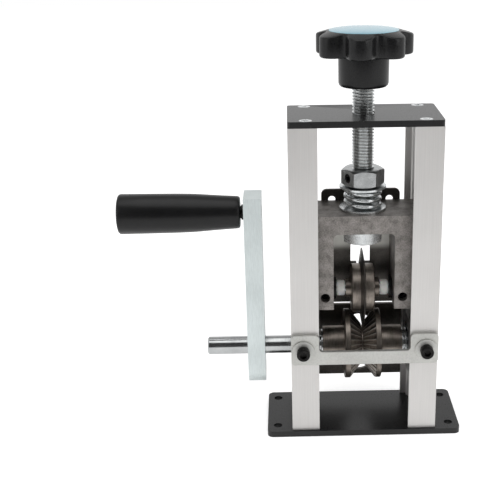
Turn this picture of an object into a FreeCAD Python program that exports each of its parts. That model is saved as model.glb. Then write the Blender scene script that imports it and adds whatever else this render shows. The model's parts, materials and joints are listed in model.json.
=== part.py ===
"""Hand crank wire stripper, in millimetres.

The origin is the centre of the base plate's underside.  X runs along the crank shaft, with the
crank on the low side, Y runs from the front to the back along the wire, and Z is up.
"""
import FreeCAD, Part
import math
import os
import re

import Sketcher

Vector = FreeCAD.Vector

DIMENSIONS = {
    # base plate
    "base_width": 128.4, "base_depth": 56, "base_thick": 4, "base_corner": 4,
    "bench_hole": 5.6, "bench_pitch_x": 114.6, "bench_pitch_y": 38.6,
    # posts: aluminium channels, open towards the middle, with two screw ports each
    "frame_width": 95, "post_width": 18, "post_depth": 52, "post_height": 204, "post_wall": 2.5,
    "port_dia": 6.4, "port_bore": 4.6, "port_inset": 11, "port_offset": 21.8,
    # top plate
    "top_thick": 4, "top_corner": 2, "screw_tap": 14.15,
    # countersunk screws of both plates
    "flat_head": 8.2, "flat_head_depth": 2.6, "flat_shank": 4.5, "flat_length": 18,
    "cross_length": 5, "cross_width": 1.1, "cross_depth": 1.6,
    # tie bracket, tie plate and their screws
    "bracket_thick": 3, "bracket_bottom": 52.9, "bar_height": 9.1, "ear_height": 20.8,
    "bracket_corner": 2.6, "tie_x": 39.7, "tie_z": 62.6, "tie_low_z": 26, "tie_clear": 5.4,
    "tie_washer": 14.8, "tie_washer_thick": 1.2, "cap_head": 8.5, "cap_head_length": 5,
    "cap_shank": 5, "cap_reach": 16.6, "cap_socket": 4,
    "button_reach": 14.9, "button_short": 8,
    "rear_thick": 2.5, "rear_bottom": 19, "rear_height": 53.5, "rear_corner": 3,
    "rear_slot_width": 20, "rear_slot_height": 42.5, "rear_slot_z": 43.8,
    "button_head": 9.4, "button_crown": 6.4, "button_height": 2.7, "button_socket": 3,
    # bearing blocks and ball bearings
    "block_gap": 30, "block_width": 14.7, "block_depth": 36.4, "block_bottom": 38,
    "block_height": 38, "block_relief": 22, "race_outer": 28, "race_width": 8, "race_wall": 1.9,
    "ball_dia": 4.4, "ball_pitch": 20, "ball_count": 8, "inner_wall": 1.9,
    # crank shaft and what it carries
    "shaft_z": 55, "shaft_dia": 12, "shaft_left": -103.3, "shaft_right": 43.5,
    "roller_dia": 46.5, "roller_width": 23.8, "roller_rim": 3.6, "groove_dia": 26.2,
    "groove_root": 0.8,
    "sleeve_dia": 24, "sleeve_length": 14.4, "sleeve_screw": 5,
    "thrust_dia": 20, "thrust_thick": 1, "thrust_gap": 1.1,
    "ring_dia": 17, "ring_thick": 1.2, "ring_groove": 11, "shaft_chamfer": 0.8, "web_hole": 14,
    "undercut_dia": 11.4, "undercut_width": 0.8,
    # crank arm, spindle and grip
    "arm_thick": 11.5, "arm_width": 22, "arm_left": -76.3,
    "arm_heel": 10.9, "arm_below": 25.6, "arm_height": 130.6, "arm_screw": 6, "crank_radius": 93.5,
    "grip_length": 77.7, "grip_left": -156.4, "grip_dia": 25.8, "grip_mid_dia": 24.8,
    "grip_neck_dia": 21, "grip_waist": 46.6, "grip_rim": 1.2,
    "spindle_dia": 8, "spindle_head": 13, "spindle_head_length": 7.5, "spindle_recess": 9,
    "spindle_collar": 10, "spindle_collar_length": 1.6, "grip_bore": 8.15, "spindle_socket": 6,
    # pressure screw, nut and star knob
    "screw_dia": 14, "screw_top": 243, "bolt_flats": 24, "bolt_head": 9.4, "bolt_turn": 28,
    "nut_flats": 24, "nut_height": 11, "nut_bottom": 165.8, "nut_turn": 2, "nut_screw": 6,
    "hexagon_land": 0.96, "hexagon_chamfer": 30,
    "hub_bottom": 228.5, "hub_dia": 31, "hub_round": 2.5, "lobe_bottom": 247.8, "knob_dia": 61,
    "knob_valley": 23.2, "lobe_radius": 8, "valley_radius": 3.92, "knob_shoulder": 259.9,
    "knob_top": 262.6, "lobe_count": 7, "lobe_turn": -8.7,
    "cap_dia": 43.2, "cap_recess": 1.5, "cap_dome": 1.2, "insert_dia": 19, "insert_length": 16,
    # spring pack
    "washer_dia": 30, "washer_thick": 1.4, "washer_bore": 14.7, "upper_washer_z": 164.1,
    "spring_dia": 24.6, "spring_wire": 2.6, "spring_turns": 2.5,
    # slider
    "slider_bottom": 87, "slider_height": 63, "slider_depth": 36.5, "slider_width": 89,
    "slider_opening": 39, "slider_bar": 12, "slider_round": 3, "slider_bore": 14.7,
    "axle_z": 95.2, "axle_dia": 8, "axle_length": 60, "leg_screw_x": 24.9, "leg_screw": 6,
    "leg_screw_length": 8,
    # guide plate
    "guide_width": 52, "guide_bottom": 77.3, "guide_height": 80.2, "guide_thick": 2,
    "guide_corner": 3.6, "guide_hole": 4.8, "guide_hole_x": 19, "guide_hole_z": 150.5,
    "window_width": 13, "window_bottom": 106.6, "window_top": 134, "guide_slot": 5,
    "guide_screw_x": 22.6, "guide_screw_high": 143, "guide_screw_low": 104,
    "small_head": 7, "small_height": 2, "small_shank": 4, "small_length": 9,
    # blade and what turns with it
    "blade_dia": 52.4, "blade_thick": 2.9, "bevel_start": 38, "blade_edge": 0.3,
    "collar_dia": 32, "collar_width": 6, "collar_round": 0.6, "bush_dia": 12.8,
    "bush_bore": 8.15, "bush_length": 22, "collar_screw_pitch": 22, "collar_screw": 4,
    "collar_screw_count": 3,
    "spacer_dia": 10.2, "spacer_length": 5.6, "spacer_x": 11.4,
    "axle_washer_dia": 15, "axle_washer_thick": 1.9, "axle_washer_x": 17.3,
    # running gap between neighbours that move past each other
    "gap": 0.3,
    # what a bore or a clearance hole has over the piece in it
    "fit": 0.06,
}

doc = FreeCAD.newDocument("wire_stripper")
sheet = doc.addObject("Spreadsheet::Sheet", "dims")
for row, (alias, value) in enumerate(DIMENSIONS.items(), start=1):
    sheet.set("A%d" % row, alias)
    sheet.set("B%d" % row, str(value))
    sheet.setAlias("B%d" % row, alias)
doc.recompute()

AXES = {"x": Vector(1, 0, 0), "y": Vector(0, 1, 0), "z": Vector(0, 0, 1),
        "-x": Vector(-1, 0, 0), "-y": Vector(0, -1, 0), "-z": Vector(0, 0, -1)}
ORIGIN = ("0", "0", "0")
ON_SHAFT = ("0", "0", "shaft_z")
ON_AXLE = ("0", "0", "axle_z")
SIDES = {"left": "-1", "right": "1"}


# ---- building blocks -------------------------------------------------------------------------
def expression(text):
    """The text with the name of each dimension turned into a reference to its cell."""
    def cell(word):
        return "dims." + word.group() if word.group() in DIMENSIONS else word.group()
    return re.sub(r"[a-z_]+", cell, text)


def bind(thing, prop, text):
    thing.setExpression(prop, expression(text))


def place(thing, at):
    """Bind the three coordinates of a placement."""
    for letter, text in zip("xyz", at):
        bind(thing, "Placement.Base." + letter, text)


def primitive(kind, name, at, axis, sizes):
    """A Part primitive whose own Z axis is laid along the given axis."""
    piece = doc.addObject("Part::" + kind, name)
    piece.Placement = FreeCAD.Placement(Vector(), FreeCAD.Rotation(AXES["z"], AXES[axis]))
    for prop, text in sizes.items():
        bind(piece, prop, text)
    place(piece, at)
    return piece


def shifted(at, axis, distance):
    """A point moved along an axis, which may be a reversed one."""
    sign = "-" if axis.startswith("-") else "+"
    return tuple("%s %s (%s)" % (text, sign, distance) if letter == axis[-1] else text
                 for letter, text in zip("xyz", at))


def block(name, at, length, width, height):
    return primitive("Box", name, at, "z", {"Length": length, "Width": width, "Height": height})


def rod(name, at, diameter, length, axis="z"):
    return primitive("Cylinder", name, at, axis,
                     {"Radius": "(%s) / 2" % diameter, "Height": length})


def cone(name, at, start, end, length, axis="z"):
    return primitive("Cone", name, at, axis, {"Radius1": "(%s) / 2" % start,
                                              "Radius2": "(%s) / 2" % end, "Height": length})


def torus(name, at, pitch, section, axis="z"):
    return primitive("Torus", name, at, axis, {"Radius1": "(%s) / 2" % pitch,
                                               "Radius2": "(%s) / 2" % section})


def hexagon(name, at, flats, length, axis="z", turn=0):
    """A hexagonal prism, turned about its own axis by a number of degrees."""
    prism = primitive("Prism", name, at, axis, {"Circumradius": "(%s) / sqrt(3)" % flats,
                                                "Height": length})
    prism.Polygon = 6
    prism.Placement.Rotation = prism.Placement.Rotation * FreeCAD.Rotation(AXES["z"], turn)
    return prism


def join(name, pieces):
    fused = doc.addObject("Part::MultiFuse", name)
    fused.Shapes = pieces
    return fused


def cut(name, base, tools):
    """The base with the tools taken away."""
    result = doc.addObject("Part::Cut", name)
    result.Base = base
    result.Tool = tools[0] if len(tools) == 1 else join(name + "_tools", tools)
    return result


def overlap(name, pieces):
    common = doc.addObject("Part::MultiCommon", name)
    common.Shapes = pieces
    return common


def group(name, pieces):
    """Separate solids that share one node."""
    compound = doc.addObject("Part::Compound", name)
    compound.Links = pieces
    return compound


def ring(name, at, outer, bore, length, axis="z"):
    """A plain washer, sleeve or race."""
    return cut(name, rod(name + "_blank", at, outer, length, axis),
               [rod(name + "_bore", at, bore, length, axis)])


def outline(sketch, points):
    """A closed outline of straight lines, with each corner bound to its two coordinates."""
    count = len(points)
    corners = [Vector(math.cos(math.tau * i / count), math.sin(math.tau * i / count), 0)
               for i in range(count)]
    for i in range(count):
        sketch.addGeometry(Part.LineSegment(corners[i], corners[(i + 1) % count]))
    for i in range(count):
        sketch.addConstraint(Sketcher.Constraint("Coincident", i, 2, (i + 1) % count, 1))
    for i, point in enumerate(points):
        for kind, text in zip(("DistanceX", "DistanceY"), point):
            start = corners[i].x if kind == "DistanceX" else corners[i].y
            index = sketch.addConstraint(Sketcher.Constraint(kind, -1, 1, i, 1, start))
            sketch.setExpression("Constraints[%d]" % index, expression(text))


def sketched_body(name, plane, points, at):
    """A body with one outline on one of its own origin planes."""
    body = doc.addObject("PartDesign::Body", name)
    sketch = body.newObject("Sketcher::SketchObject", name + "_outline")
    datum = [item for item in body.Origin.OriginFeatures if item.Role == plane][0]
    sketch.AttachmentSupport = [(datum, "")]
    sketch.MapMode = "FlatFace"
    outline(sketch, points)
    place(body, at)
    return body, sketch


def extruded(name, plane, points, thickness, at=ORIGIN):
    """A body padded from an outline."""
    body, sketch = sketched_body(name, plane, points, at)
    pad = body.newObject("PartDesign::Pad", name + "_pad")
    pad.Profile = sketch
    bind(pad, "Length", thickness)
    body.Tip = pad
    doc.recompute()
    return body


def turned(name, points, axis, at=ORIGIN):
    """A body turned on a lathe from an outline of (along, radius) points about the X or Z axis."""
    if axis == "z":
        points = [(radius, along) for along, radius in points]
    body, sketch = sketched_body(name, "XZ_Plane", points, at)
    lathe = body.newObject("PartDesign::Revolution", name + "_lathe")
    lathe.Profile = sketch
    lathe.ReferenceAxis = (sketch, ["H_Axis" if axis == "x" else "V_Axis"])
    lathe.Angle = 360
    body.Tip = lathe
    doc.recompute()
    return body


def rounded(body, radius, wanted, kind="Fillet"):
    """Round, or chamfer, those edges of a body that the test accepts."""
    base = body.Tip
    names = ["Edge%d" % number for number, edge in enumerate(base.Shape.Edges, start=1)
             if wanted(edge)]
    feature = body.newObject("PartDesign::" + kind, "%s_%s" % (body.Name, kind.lower()))
    feature.Base = (base, names)
    bind(feature, "Radius" if kind == "Fillet" else "Size", radius)
    body.Tip = feature
    doc.recompute()
    return body


def runs_along(edge, axis):
    """Whether a straight edge is parallel to an axis."""
    if len(edge.Vertexes) != 2:
        return False
    direction = edge.Vertexes[1].Point - edge.Vertexes[0].Point
    return direction.Length > 0 and direction.cross(AXES[axis]).Length < 1e-6 * direction.Length


def size(alias):
    return DIMENSIONS[alias]


def rectangle(width, low, high):
    """The corners of a rectangle that is centred across and runs from low to high."""
    return [("-(%s) / 2" % width, low), ("(%s) / 2" % width, low),
            ("(%s) / 2" % width, high), ("-(%s) / 2" % width, high)]


# ---- fasteners -------------------------------------------------------------------------------
def turned_hexagon(name, low, flats, height, turn):
    """A nut or bolt head: its corners are turned off at both ends down to a round land."""
    corner, land = "(%s / sqrt(3) + gap)" % flats, "hexagon_land * %s / 2" % flats
    drop = "(%s - %s) * tan(hexagon_chamfer)" % (corner, land)
    barrel = turned(name + "_barrel", [("0", "0"), ("0", land), (drop, corner),
                                       ("%s - %s" % (height, drop), corner), (height, land),
                                       (height, "0")], "z", ("0", "0", low))
    return overlap(name, [hexagon(name + "_prism", ("0", "0", low), flats, height, "z", turn),
                          barrel])


def flat_screw(name, at, axis):
    """A countersunk cross-head screw, its head flush with the face it starts from."""
    x, y, z = at
    blank = join(name + "_blank", [cone(name + "_head", at, "flat_head", "flat_shank",
                                        "flat_head_depth", axis),
                                   rod(name + "_shank", at, "flat_shank", "flat_length", axis)])
    low = z if axis == "z" else "%s - cross_depth" % z
    slots = [block("%s_slot_%s" % (name, letter), ("%s - %s / 2" % (x, length),
                                                  "%s - %s / 2" % (y, width), low),
                   length, width, "cross_depth")
             for letter, length, width in (("x", "cross_length", "cross_width"),
                                           ("y", "cross_width", "cross_length"))]
    return cut(name, blank, slots)


def countersink(name, at, axis):
    """What a flat screw takes out of its plate."""
    return [rod(name + "_hole", shifted(at, axis, "-gap"), "flat_shank + 2 * fit",
                "base_thick + 2 * gap", axis),
            cone(name + "_sink", at, "flat_head + 2 * fit", "flat_shank + 2 * fit",
                 "flat_head_depth", axis)]


def socket_screw(name, at, axis, kind, height, reach):
    """A cap or button screw that points along an axis from the face its head bears on."""
    top = shifted(at, axis, "-%s" % height)
    crown = "button_crown" if kind == "button" else "cap_head"
    blank = join(name + "_blank", [cone(name + "_head", top, crown, kind + "_head", height, axis)
                                   if kind == "button" else
                                   rod(name + "_head", top, crown, height, axis),
                                   rod(name + "_shank", at, "cap_shank", reach, axis)])
    return cut(name, blank, [hexagon(name + "_socket", top, kind + "_socket", height + " / 2",
                                     axis)])


def grub_screw(name, at, axis, diameter, length):
    """A headless screw with a hexagon socket in its outer end."""
    return cut(name, rod(name + "_blank", at, diameter, length, axis),
               [hexagon(name + "_socket", at, "%s / 2" % diameter, "(%s) / 2" % length, axis)])


def four(x, y):
    """The corners of a rectangle about the middle of the frame, each with a tag for names."""
    return [("_%d" % number, "%d * (%s)" % (across, x), "%d * (%s)" % (along, y))
            for number, (across, along) in enumerate(((-1, -1), (1, -1), (1, 1), (-1, 1)))]


# ---- frame -----------------------------------------------------------------------------------
PORT_X = "frame_width / 2 - port_inset"
POST_INNER = "frame_width / 2 - post_width"
PLATE_Z = "base_thick + post_height"


def make_base_plate():
    """Foot plate: four bench holes, and four holes sunk from below for the post screws."""
    plate = extruded("base_blank", "XY_Plane",
                     rectangle("base_width", "-base_depth / 2", "base_depth / 2"), "base_thick")
    rounded(plate, "base_corner", lambda edge: runs_along(edge, "z"))
    tools = [rod("bench_hole" + tag, (x, y, "-gap"), "bench_hole", "base_thick + 2 * gap")
             for tag, x, y in four("bench_pitch_x / 2", "bench_pitch_y / 2")]
    for tag, x, y in four(PORT_X, "port_offset"):
        tools += countersink("base_port" + tag, (x, y, "0"), "z")
    return cut("base_plate", plate, tools)


def make_top_plate():
    """Head plate: the tapped hole for the pressure screw and four sunk post screws."""
    plate = extruded("top_blank", "XY_Plane",
                     rectangle("frame_width", "-post_depth / 2", "post_depth / 2"), "top_thick",
                     ("0", "0", PLATE_Z))
    rounded(plate, "top_corner", lambda edge: runs_along(edge, "z"))
    tools = [rod("tapped_hole", ("0", "0", PLATE_Z + " - gap"), "screw_tap",
                 "top_thick + 2 * gap")]
    for tag, x, y in four(PORT_X, "port_offset"):
        tools += countersink("top_port" + tag, (x, y, PLATE_Z + " + top_thick"), "-z")
    return cut("top_plate", plate, tools)


def make_plate_screws(name, z, axis):
    """The four countersunk screws of one plate."""
    return group(name, [flat_screw(name + tag, (x, y, z), axis)
                        for tag, x, y in four(PORT_X, "port_offset")])


def make_post(side):
    """Channel upright, open towards the middle, with a screw port in each flange."""
    sign = SIDES[side]
    web, lip = "%s * frame_width / 2" % sign, "%s * (%s)" % (sign, POST_INNER)
    inside = "%s * (frame_width / 2 - post_wall)" % sign
    flange = "post_depth / 2 - post_wall"
    points = [(web, "-post_depth / 2"), (web, "post_depth / 2"), (lip, "post_depth / 2"),
              (lip, flange), (inside, flange), (inside, "-(%s)" % flange),
              (lip, "-(%s)" % flange), (lip, "-post_depth / 2")]
    channel = extruded(side + "_channel", "XY_Plane", points, "post_height",
                       ("0", "0", "base_thick"))
    port_x = "%s * (%s)" % (sign, PORT_X)
    tie_x = "%s * tie_x" % sign
    ends = {"front": "-port_offset", "rear": "port_offset"}
    ports = [rod("%s_%s_port" % (side, end), (port_x, y, "base_thick"), "port_dia", "post_height")
             for end, y in ends.items()]
    tools = [rod("%s_%s_bore" % (side, end), (port_x, y, "base_thick - gap"),
                 "port_bore", "post_height + 2 * gap") for end, y in ends.items()]
    tools += [rod(side + "_tie_hole", (tie_x, "-post_depth / 2 - gap", "tie_z"), "tie_clear",
                  "post_depth + 2 * gap", "y"),
              rod(side + "_low_tie_hole", (tie_x, "0", "tie_low_z"), "cap_shank + 2 * fit",
                  "post_depth / 2 + gap", "y")]
    if side == "left":
        tools.append(rod("shaft_hole", ("-frame_width / 2 - gap", "0", "shaft_z"), "web_hole",
                         "post_wall + 2 * gap", "x"))
    return cut(side + "_post", join(side + "_profile", [channel] + ports), tools)


def make_front_tie_bracket():
    """U-shaped bracket: a bar between the posts, and an ear on the front of each."""
    edge, inner = "frame_width / 2", POST_INNER
    bar_top = "bracket_bottom + bar_height"
    ear_top = "bracket_bottom + ear_height"
    points = [("-(%s)" % edge, "bracket_bottom"), (edge, "bracket_bottom"), (edge, ear_top),
              (inner, ear_top), (inner, bar_top), ("-(%s)" % inner, bar_top),
              ("-(%s)" % inner, ear_top), ("-(%s)" % edge, ear_top)]
    bracket = extruded("bracket_blank", "XZ_Plane", points, "bracket_thick",
                       ("0", "-post_depth / 2", "0"))
    rounded(bracket, "bracket_corner", lambda edge: runs_along(edge, "y"))
    tools = [rod(side + "_bracket_hole",
                 ("%s * tie_x" % sign, "-post_depth / 2 - bracket_thick - gap", "tie_z"),
                 "tie_clear", "bracket_thick + 2 * gap", "y") for side, sign in SIDES.items()]
    return cut("front_tie_bracket", bracket, tools)


def make_front_tie_washers():
    """A plain washer under each front screw."""
    y = "-post_depth / 2 - bracket_thick - tie_washer_thick"
    return group("front_tie_washers",
                 [ring(side + "_tie_washer", ("%s * tie_x" % sign, y, "tie_z"), "tie_washer",
                       "tie_clear", "tie_washer_thick", "y") for side, sign in SIDES.items()])


def make_front_tie_screws():
    """Cap screws through bracket and post into the bearing blocks."""
    y = "-post_depth / 2 - bracket_thick - tie_washer_thick"
    return group("front_tie_screws",
                 [socket_screw(side + "_tie_screw", ("%s * tie_x" % sign, y, "tie_z"), "y", "cap",
                               "cap_head_length", "cap_reach") for side, sign in SIDES.items()])


def make_rear_tie_plate():
    """Plate across the back of the posts, with an upright slot where the wire leaves."""
    y = "post_depth / 2 + rear_thick"
    plate = extruded("rear_blank", "XZ_Plane",
                     rectangle("frame_width", "rear_bottom", "rear_bottom + rear_height"),
                     "rear_thick", ("0", y, "0"))
    rounded(plate, "rear_corner", lambda edge: runs_along(edge, "y"))
    start, through = "post_depth / 2 - gap", "rear_thick + 2 * gap"
    straight = "rear_slot_height - rear_slot_width"
    tools = [block("slot_middle", ("-rear_slot_width / 2", start,
                                   "rear_slot_z - (%s) / 2" % straight),
                   "rear_slot_width", through, straight)]
    tools += [rod("slot_end_" + end, ("0", start, "rear_slot_z %s (%s) / 2" % (end_sign, straight)),
                  "rear_slot_width", through, "y") for end, end_sign in (("a", "+"), ("b", "-"))]
    for side, sign in SIDES.items():
        for level in ("tie_z", "tie_low_z"):
            tools.append(rod("%s_rear_hole_%s" % (side, level), ("%s * tie_x" % sign, start, level),
                             "tie_clear", through, "y"))
    return cut("rear_tie_plate", plate, tools)


def make_rear_tie_screws():
    """Button screws: two into the bearing blocks and two into the posts' rear ports."""
    y = "post_depth / 2 + rear_thick"
    reaches = {"tie_z": "button_reach", "tie_low_z": "button_short"}
    return group("rear_tie_screws",
                 [socket_screw("%s_button_%s" % (side, level), ("%s * tie_x" % sign, y, level),
                               "-y", "button", "button_height", reach)
                  for side, sign in SIDES.items() for level, reach in reaches.items()])


def inner_end(side, near, width):
    """Where a piece beside the middle plane starts along X, on either side."""
    return near if side == "right" else "-(%s) - (%s)" % (near, width)


def make_bearing_block(side):
    """Block inside the post, bored from the middle for the ball bearing."""
    start = inner_end(side, "block_gap", "block_width")
    body = block(side + "_block_blank", (start, "-block_depth / 2", "block_bottom"),
                 "block_width", "block_depth", "block_height")
    seat = inner_end(side, "block_gap - gap", "race_width + gap")
    tools = [rod(side + "_block_relief", ("%s - gap" % start, "0", "shaft_z"), "block_relief",
                 "block_width + 2 * gap", "x"),
             rod(side + "_block_seat", (seat, "0", "shaft_z"), "race_outer + 2 * fit",
                 "race_width + gap", "x"),
             rod(side + "_block_tap", ("%s * tie_x" % SIDES[side], "-block_depth / 2 - gap",
                                       "tie_z"), "cap_shank + 2 * fit",
                 "block_depth + 2 * gap", "y")]
    return cut(side + "_bearing_block", body, tools)


def bearing_middle(side):
    return ("%s * (block_gap + race_width / 2)" % SIDES[side], "0", "shaft_z")


def make_outer_ring(side):
    """Outer ring with its ball groove."""
    at = (inner_end(side, "block_gap", "race_width"), "0", "shaft_z")
    return cut(side + "_bearing_outer_ring",
               rod(side + "_outer_blank", at, "race_outer", "race_width", "x"),
               [rod(side + "_outer_bore", at, "race_outer - 2 * race_wall", "race_width", "x"),
                torus(side + "_outer_groove", bearing_middle(side), "ball_pitch",
                      "ball_dia + 2 * fit", "x")])


def make_inner_ring(side):
    """Inner ring with its ball groove, which turns with the shaft."""
    at = (inner_end(side, "block_gap", "race_width"), "0", "shaft_z")
    return cut(side + "_bearing_inner_ring",
               rod(side + "_inner_blank", at, "shaft_dia + 2 * inner_wall", "race_width", "x"),
               [rod(side + "_inner_bore", at, "shaft_dia + fit", "race_width", "x"),
                torus(side + "_inner_groove", bearing_middle(side), "ball_pitch",
                      "ball_dia + 2 * gap", "x")])


def make_balls(side):
    """The ring of balls."""
    x, y, z = bearing_middle(side)
    count = size("ball_count")
    balls = []
    for number in range(count):
        angle = "360 / ball_count * %d" % number
        at = (x, "ball_pitch / 2 * cos(%s)" % angle,
              "%s + ball_pitch / 2 * sin(%s)" % (z, angle))
        balls.append(primitive("Sphere", "%s_ball_%d" % (side, number), at, "z",
                               {"Radius": "ball_dia / 2"}))
    return group(side + "_bearing_balls", balls)


# ---- drive -----------------------------------------------------------------------------------
def make_drive_shaft():
    """Ground shaft with an undercut at the arm's face and a groove for the retaining ring."""
    ring_at = "block_gap + race_width + fit"
    undercut_end = "arm_left + undercut_width"
    points = [("shaft_left", "0"), ("shaft_left", "shaft_dia / 2 - shaft_chamfer"),
              ("shaft_left + shaft_chamfer", "shaft_dia / 2"), ("arm_left", "shaft_dia / 2"),
              ("arm_left", "undercut_dia / 2"), (undercut_end, "undercut_dia / 2"),
              (undercut_end, "shaft_dia / 2"), (ring_at, "shaft_dia / 2"),
              (ring_at, "ring_groove / 2"), (ring_at + " + ring_thick + fit", "ring_groove / 2"),
              (ring_at + " + ring_thick + fit", "shaft_dia / 2"),
              ("shaft_right - shaft_chamfer", "shaft_dia / 2"),
              ("shaft_right", "shaft_dia / 2 - shaft_chamfer"), ("shaft_right", "0")]
    return turned("drive_shaft", points, "x", ON_SHAFT)


def make_retaining_ring():
    """Ring in the shaft's groove, outboard of the right bearing."""
    return ring("shaft_retaining_ring", ("block_gap + race_width + fit", "0", "shaft_z"),
                "ring_dia", "ring_groove + fit", "ring_thick", "x")


def make_feed_roller():
    """V-grooved roller with a flat rim either side."""
    half, bore = "roller_width / 2", "shaft_dia / 2 + fit / 2"
    rim = "roller_width / 2 - roller_rim"
    points = [("-(%s)" % half, bore), ("-(%s)" % half, "roller_dia / 2"),
              ("-(%s)" % rim, "roller_dia / 2"), ("-groove_root / 2", "groove_dia / 2"),
              ("groove_root / 2", "groove_dia / 2"), (rim, "roller_dia / 2"),
              (half, "roller_dia / 2"), (half, bore)]
    return turned("feed_roller", points, "x", ON_SHAFT)


def make_sleeve(side):
    """Smooth hub beside the roller, with a tapped hole for its grub screw."""
    at = (inner_end(side, "roller_width / 2", "sleeve_length"), "0", "shaft_z")
    middle = "%s * (roller_width / 2 + sleeve_length / 2)" % SIDES[side]
    return cut(side + "_sleeve", rod(side + "_sleeve_blank", at, "sleeve_dia", "sleeve_length", "x"),
               [rod(side + "_sleeve_bore", at, "shaft_dia + fit", "sleeve_length", "x"),
                rod(side + "_sleeve_tap", (middle, "0", "shaft_z"), "sleeve_screw + 2 * fit",
                    "sleeve_dia / 2 + gap", "y")])


def make_sleeve_screws():
    """A grub screw holds each sleeve on the shaft."""
    screws = []
    for side, sign in SIDES.items():
        at = ("%s * (roller_width / 2 + sleeve_length / 2)" % sign, "sleeve_dia / 2", "shaft_z")
        screws.append(grub_screw(side + "_sleeve_screw", shifted(at, "y", "-gap"), "-y",
                                 "sleeve_screw", "sleeve_dia / 2 - shaft_dia / 2 - gap - fit"))
    return group("sleeve_grub_screws", screws)


def make_thrust_washers():
    """Two thin rings between each sleeve and its bearing."""
    near = "roller_width / 2 + sleeve_length + fit"
    rings = []
    for side in SIDES:
        for number, start in enumerate((near, near + " + thrust_thick + thrust_gap")):
            at = (inner_end(side, start, "thrust_thick"), "0", "shaft_z")
            rings.append(ring("%s_thrust_%d" % (side, number), at, "thrust_dia",
                              "shaft_dia + fit", "thrust_thick", "x"))
    return group("thrust_washers", rings)


def make_crank_arm():
    """Flat steel arm with a round heel, bored for the shaft and tapped for the spindle."""
    half = "arm_width / 2"
    low, high = "shaft_z - arm_below", "shaft_z - arm_below + arm_height"
    points = [("-" + half, low), (half, low), (half, high), ("-" + half, high)]
    arm = extruded("arm_blank", "YZ_Plane", points, "arm_thick", ("arm_left", "0", "0"))
    rounded(arm, "arm_heel", lambda edge: runs_along(edge, "x")
            and edge.CenterOfMass.z < size("shaft_z"))
    start, through = "arm_left - gap", "arm_thick + 2 * gap"
    return cut("crank_arm", arm,
               [rod("arm_bore", (start, "0", "shaft_z"), "shaft_dia + fit", through, "x"),
                rod("arm_tap", (start, "0", "shaft_z + crank_radius"), "spindle_dia + fit",
                    through, "x"),
                rod("arm_screw_hole", ("arm_left + arm_thick / 2", "0", "shaft_z"),
                    "arm_screw + 2 * fit", "arm_width / 2 + gap", "y")])


def make_crank_arm_screw():
    """Grub screw that holds the arm on the shaft."""
    at = ("arm_left + arm_thick / 2", "arm_width / 2 - gap", "shaft_z")
    return grub_screw("crank_arm_grub_screw", at, "-y", "arm_screw",
                      "arm_width / 2 - shaft_dia / 2 - gap - fit")


def make_handle_spindle():
    """Shoulder screw: a head in the grip's recess, a collar against the arm, a stub in it."""
    head_end = "spindle_head_length / 2"
    tip = "arm_left + arm_thick"
    head_start = "grip_left + spindle_recess - spindle_head_length - gap"
    points = [(head_start, "0"), (head_start, "spindle_head / 2"),
              (head_start + " + spindle_head_length", "spindle_head / 2"),
              (head_start + " + spindle_head_length", "spindle_dia / 2"),
              ("arm_left - spindle_collar_length", "spindle_dia / 2"),
              ("arm_left - spindle_collar_length", "spindle_collar / 2"),
              ("arm_left", "spindle_collar / 2"), ("arm_left", "spindle_dia / 2"),
              (tip, "spindle_dia / 2"), (tip, "0")]
    blank = turned("spindle_blank", points, "x", ("0", "0", "shaft_z + crank_radius"))
    return cut("handle_spindle", blank,
               [hexagon("spindle_hexagon", (head_start, "0", "shaft_z + crank_radius"),
                        "spindle_socket", head_end, "x")])


def make_hand_grip():
    """Moulded grip, nearly straight and then tapered to the arm, that spins on the spindle."""
    right = "grip_left + grip_length"
    waist = "grip_left + grip_waist"
    points = [("grip_left", "spindle_head / 2 + gap"), ("grip_left", "grip_dia / 2 - grip_rim"),
              ("grip_left + grip_rim", "grip_dia / 2"), (waist, "grip_mid_dia / 2"),
              (right + " - grip_rim", "grip_neck_dia / 2"),
              (right, "grip_neck_dia / 2 - grip_rim"), (right, "grip_bore / 2"),
              ("grip_left + spindle_recess", "grip_bore / 2"),
              ("grip_left + spindle_recess", "spindle_head / 2 + gap")]
    return turned("hand_grip", points, "x", ("0", "0", "shaft_z + crank_radius"))


# ---- pressure screw and knob -----------------------------------------------------------------
def make_pressure_screw():
    """Hexagon bolt, threaded over its whole length, its head under the slider's bar."""
    low = "slider_bottom + slider_height - slider_bar - gap - bolt_head"
    head = turned_hexagon("bolt_hexagon", low, "bolt_flats", "bolt_head", size("bolt_turn"))
    shank = rod("bolt_shank", ("0", "0", low), "screw_dia", "screw_top - (%s)" % low)
    return join("pressure_screw", [head, shank])


NUT_FLAT = math.radians(size("nut_turn") + 210)
NUT_SCREW_TURN = FreeCAD.Rotation(AXES["z"], Vector(math.cos(NUT_FLAT), math.sin(NUT_FLAT), 0))


def make_lock_nut():
    """Tall nut that carries the upper washer, with a grub screw hole in one flat."""
    nut = turned_hexagon("nut_hexagon", "nut_bottom", "nut_flats", "nut_height",
                         size("nut_turn"))
    hole = rod("nut_hole", ("0", "0", "nut_bottom + nut_height / 2"), "nut_screw + 2 * fit",
               "nut_flats", "z")
    hole.Placement.Rotation = NUT_SCREW_TURN
    return cut("lock_nut", nut, [rod("nut_bore", ("0", "0", "nut_bottom"), "screw_dia + fit",
                                     "nut_height"), hole])


def make_lock_nut_screw():
    """Grub screw in the nut's front left flat."""
    screw = grub_screw("nut_screw_blank", ("0", "0", "nut_flats / 2 - gap"), "-z", "nut_screw",
                       "nut_flats / 2 - screw_dia / 2 - gap - fit")
    carrier = group("lock_nut_grub_screw", [screw])
    carrier.Placement.Rotation = NUT_SCREW_TURN
    bind(carrier, "Placement.Base.z", "nut_bottom + nut_height / 2")
    return carrier


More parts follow.
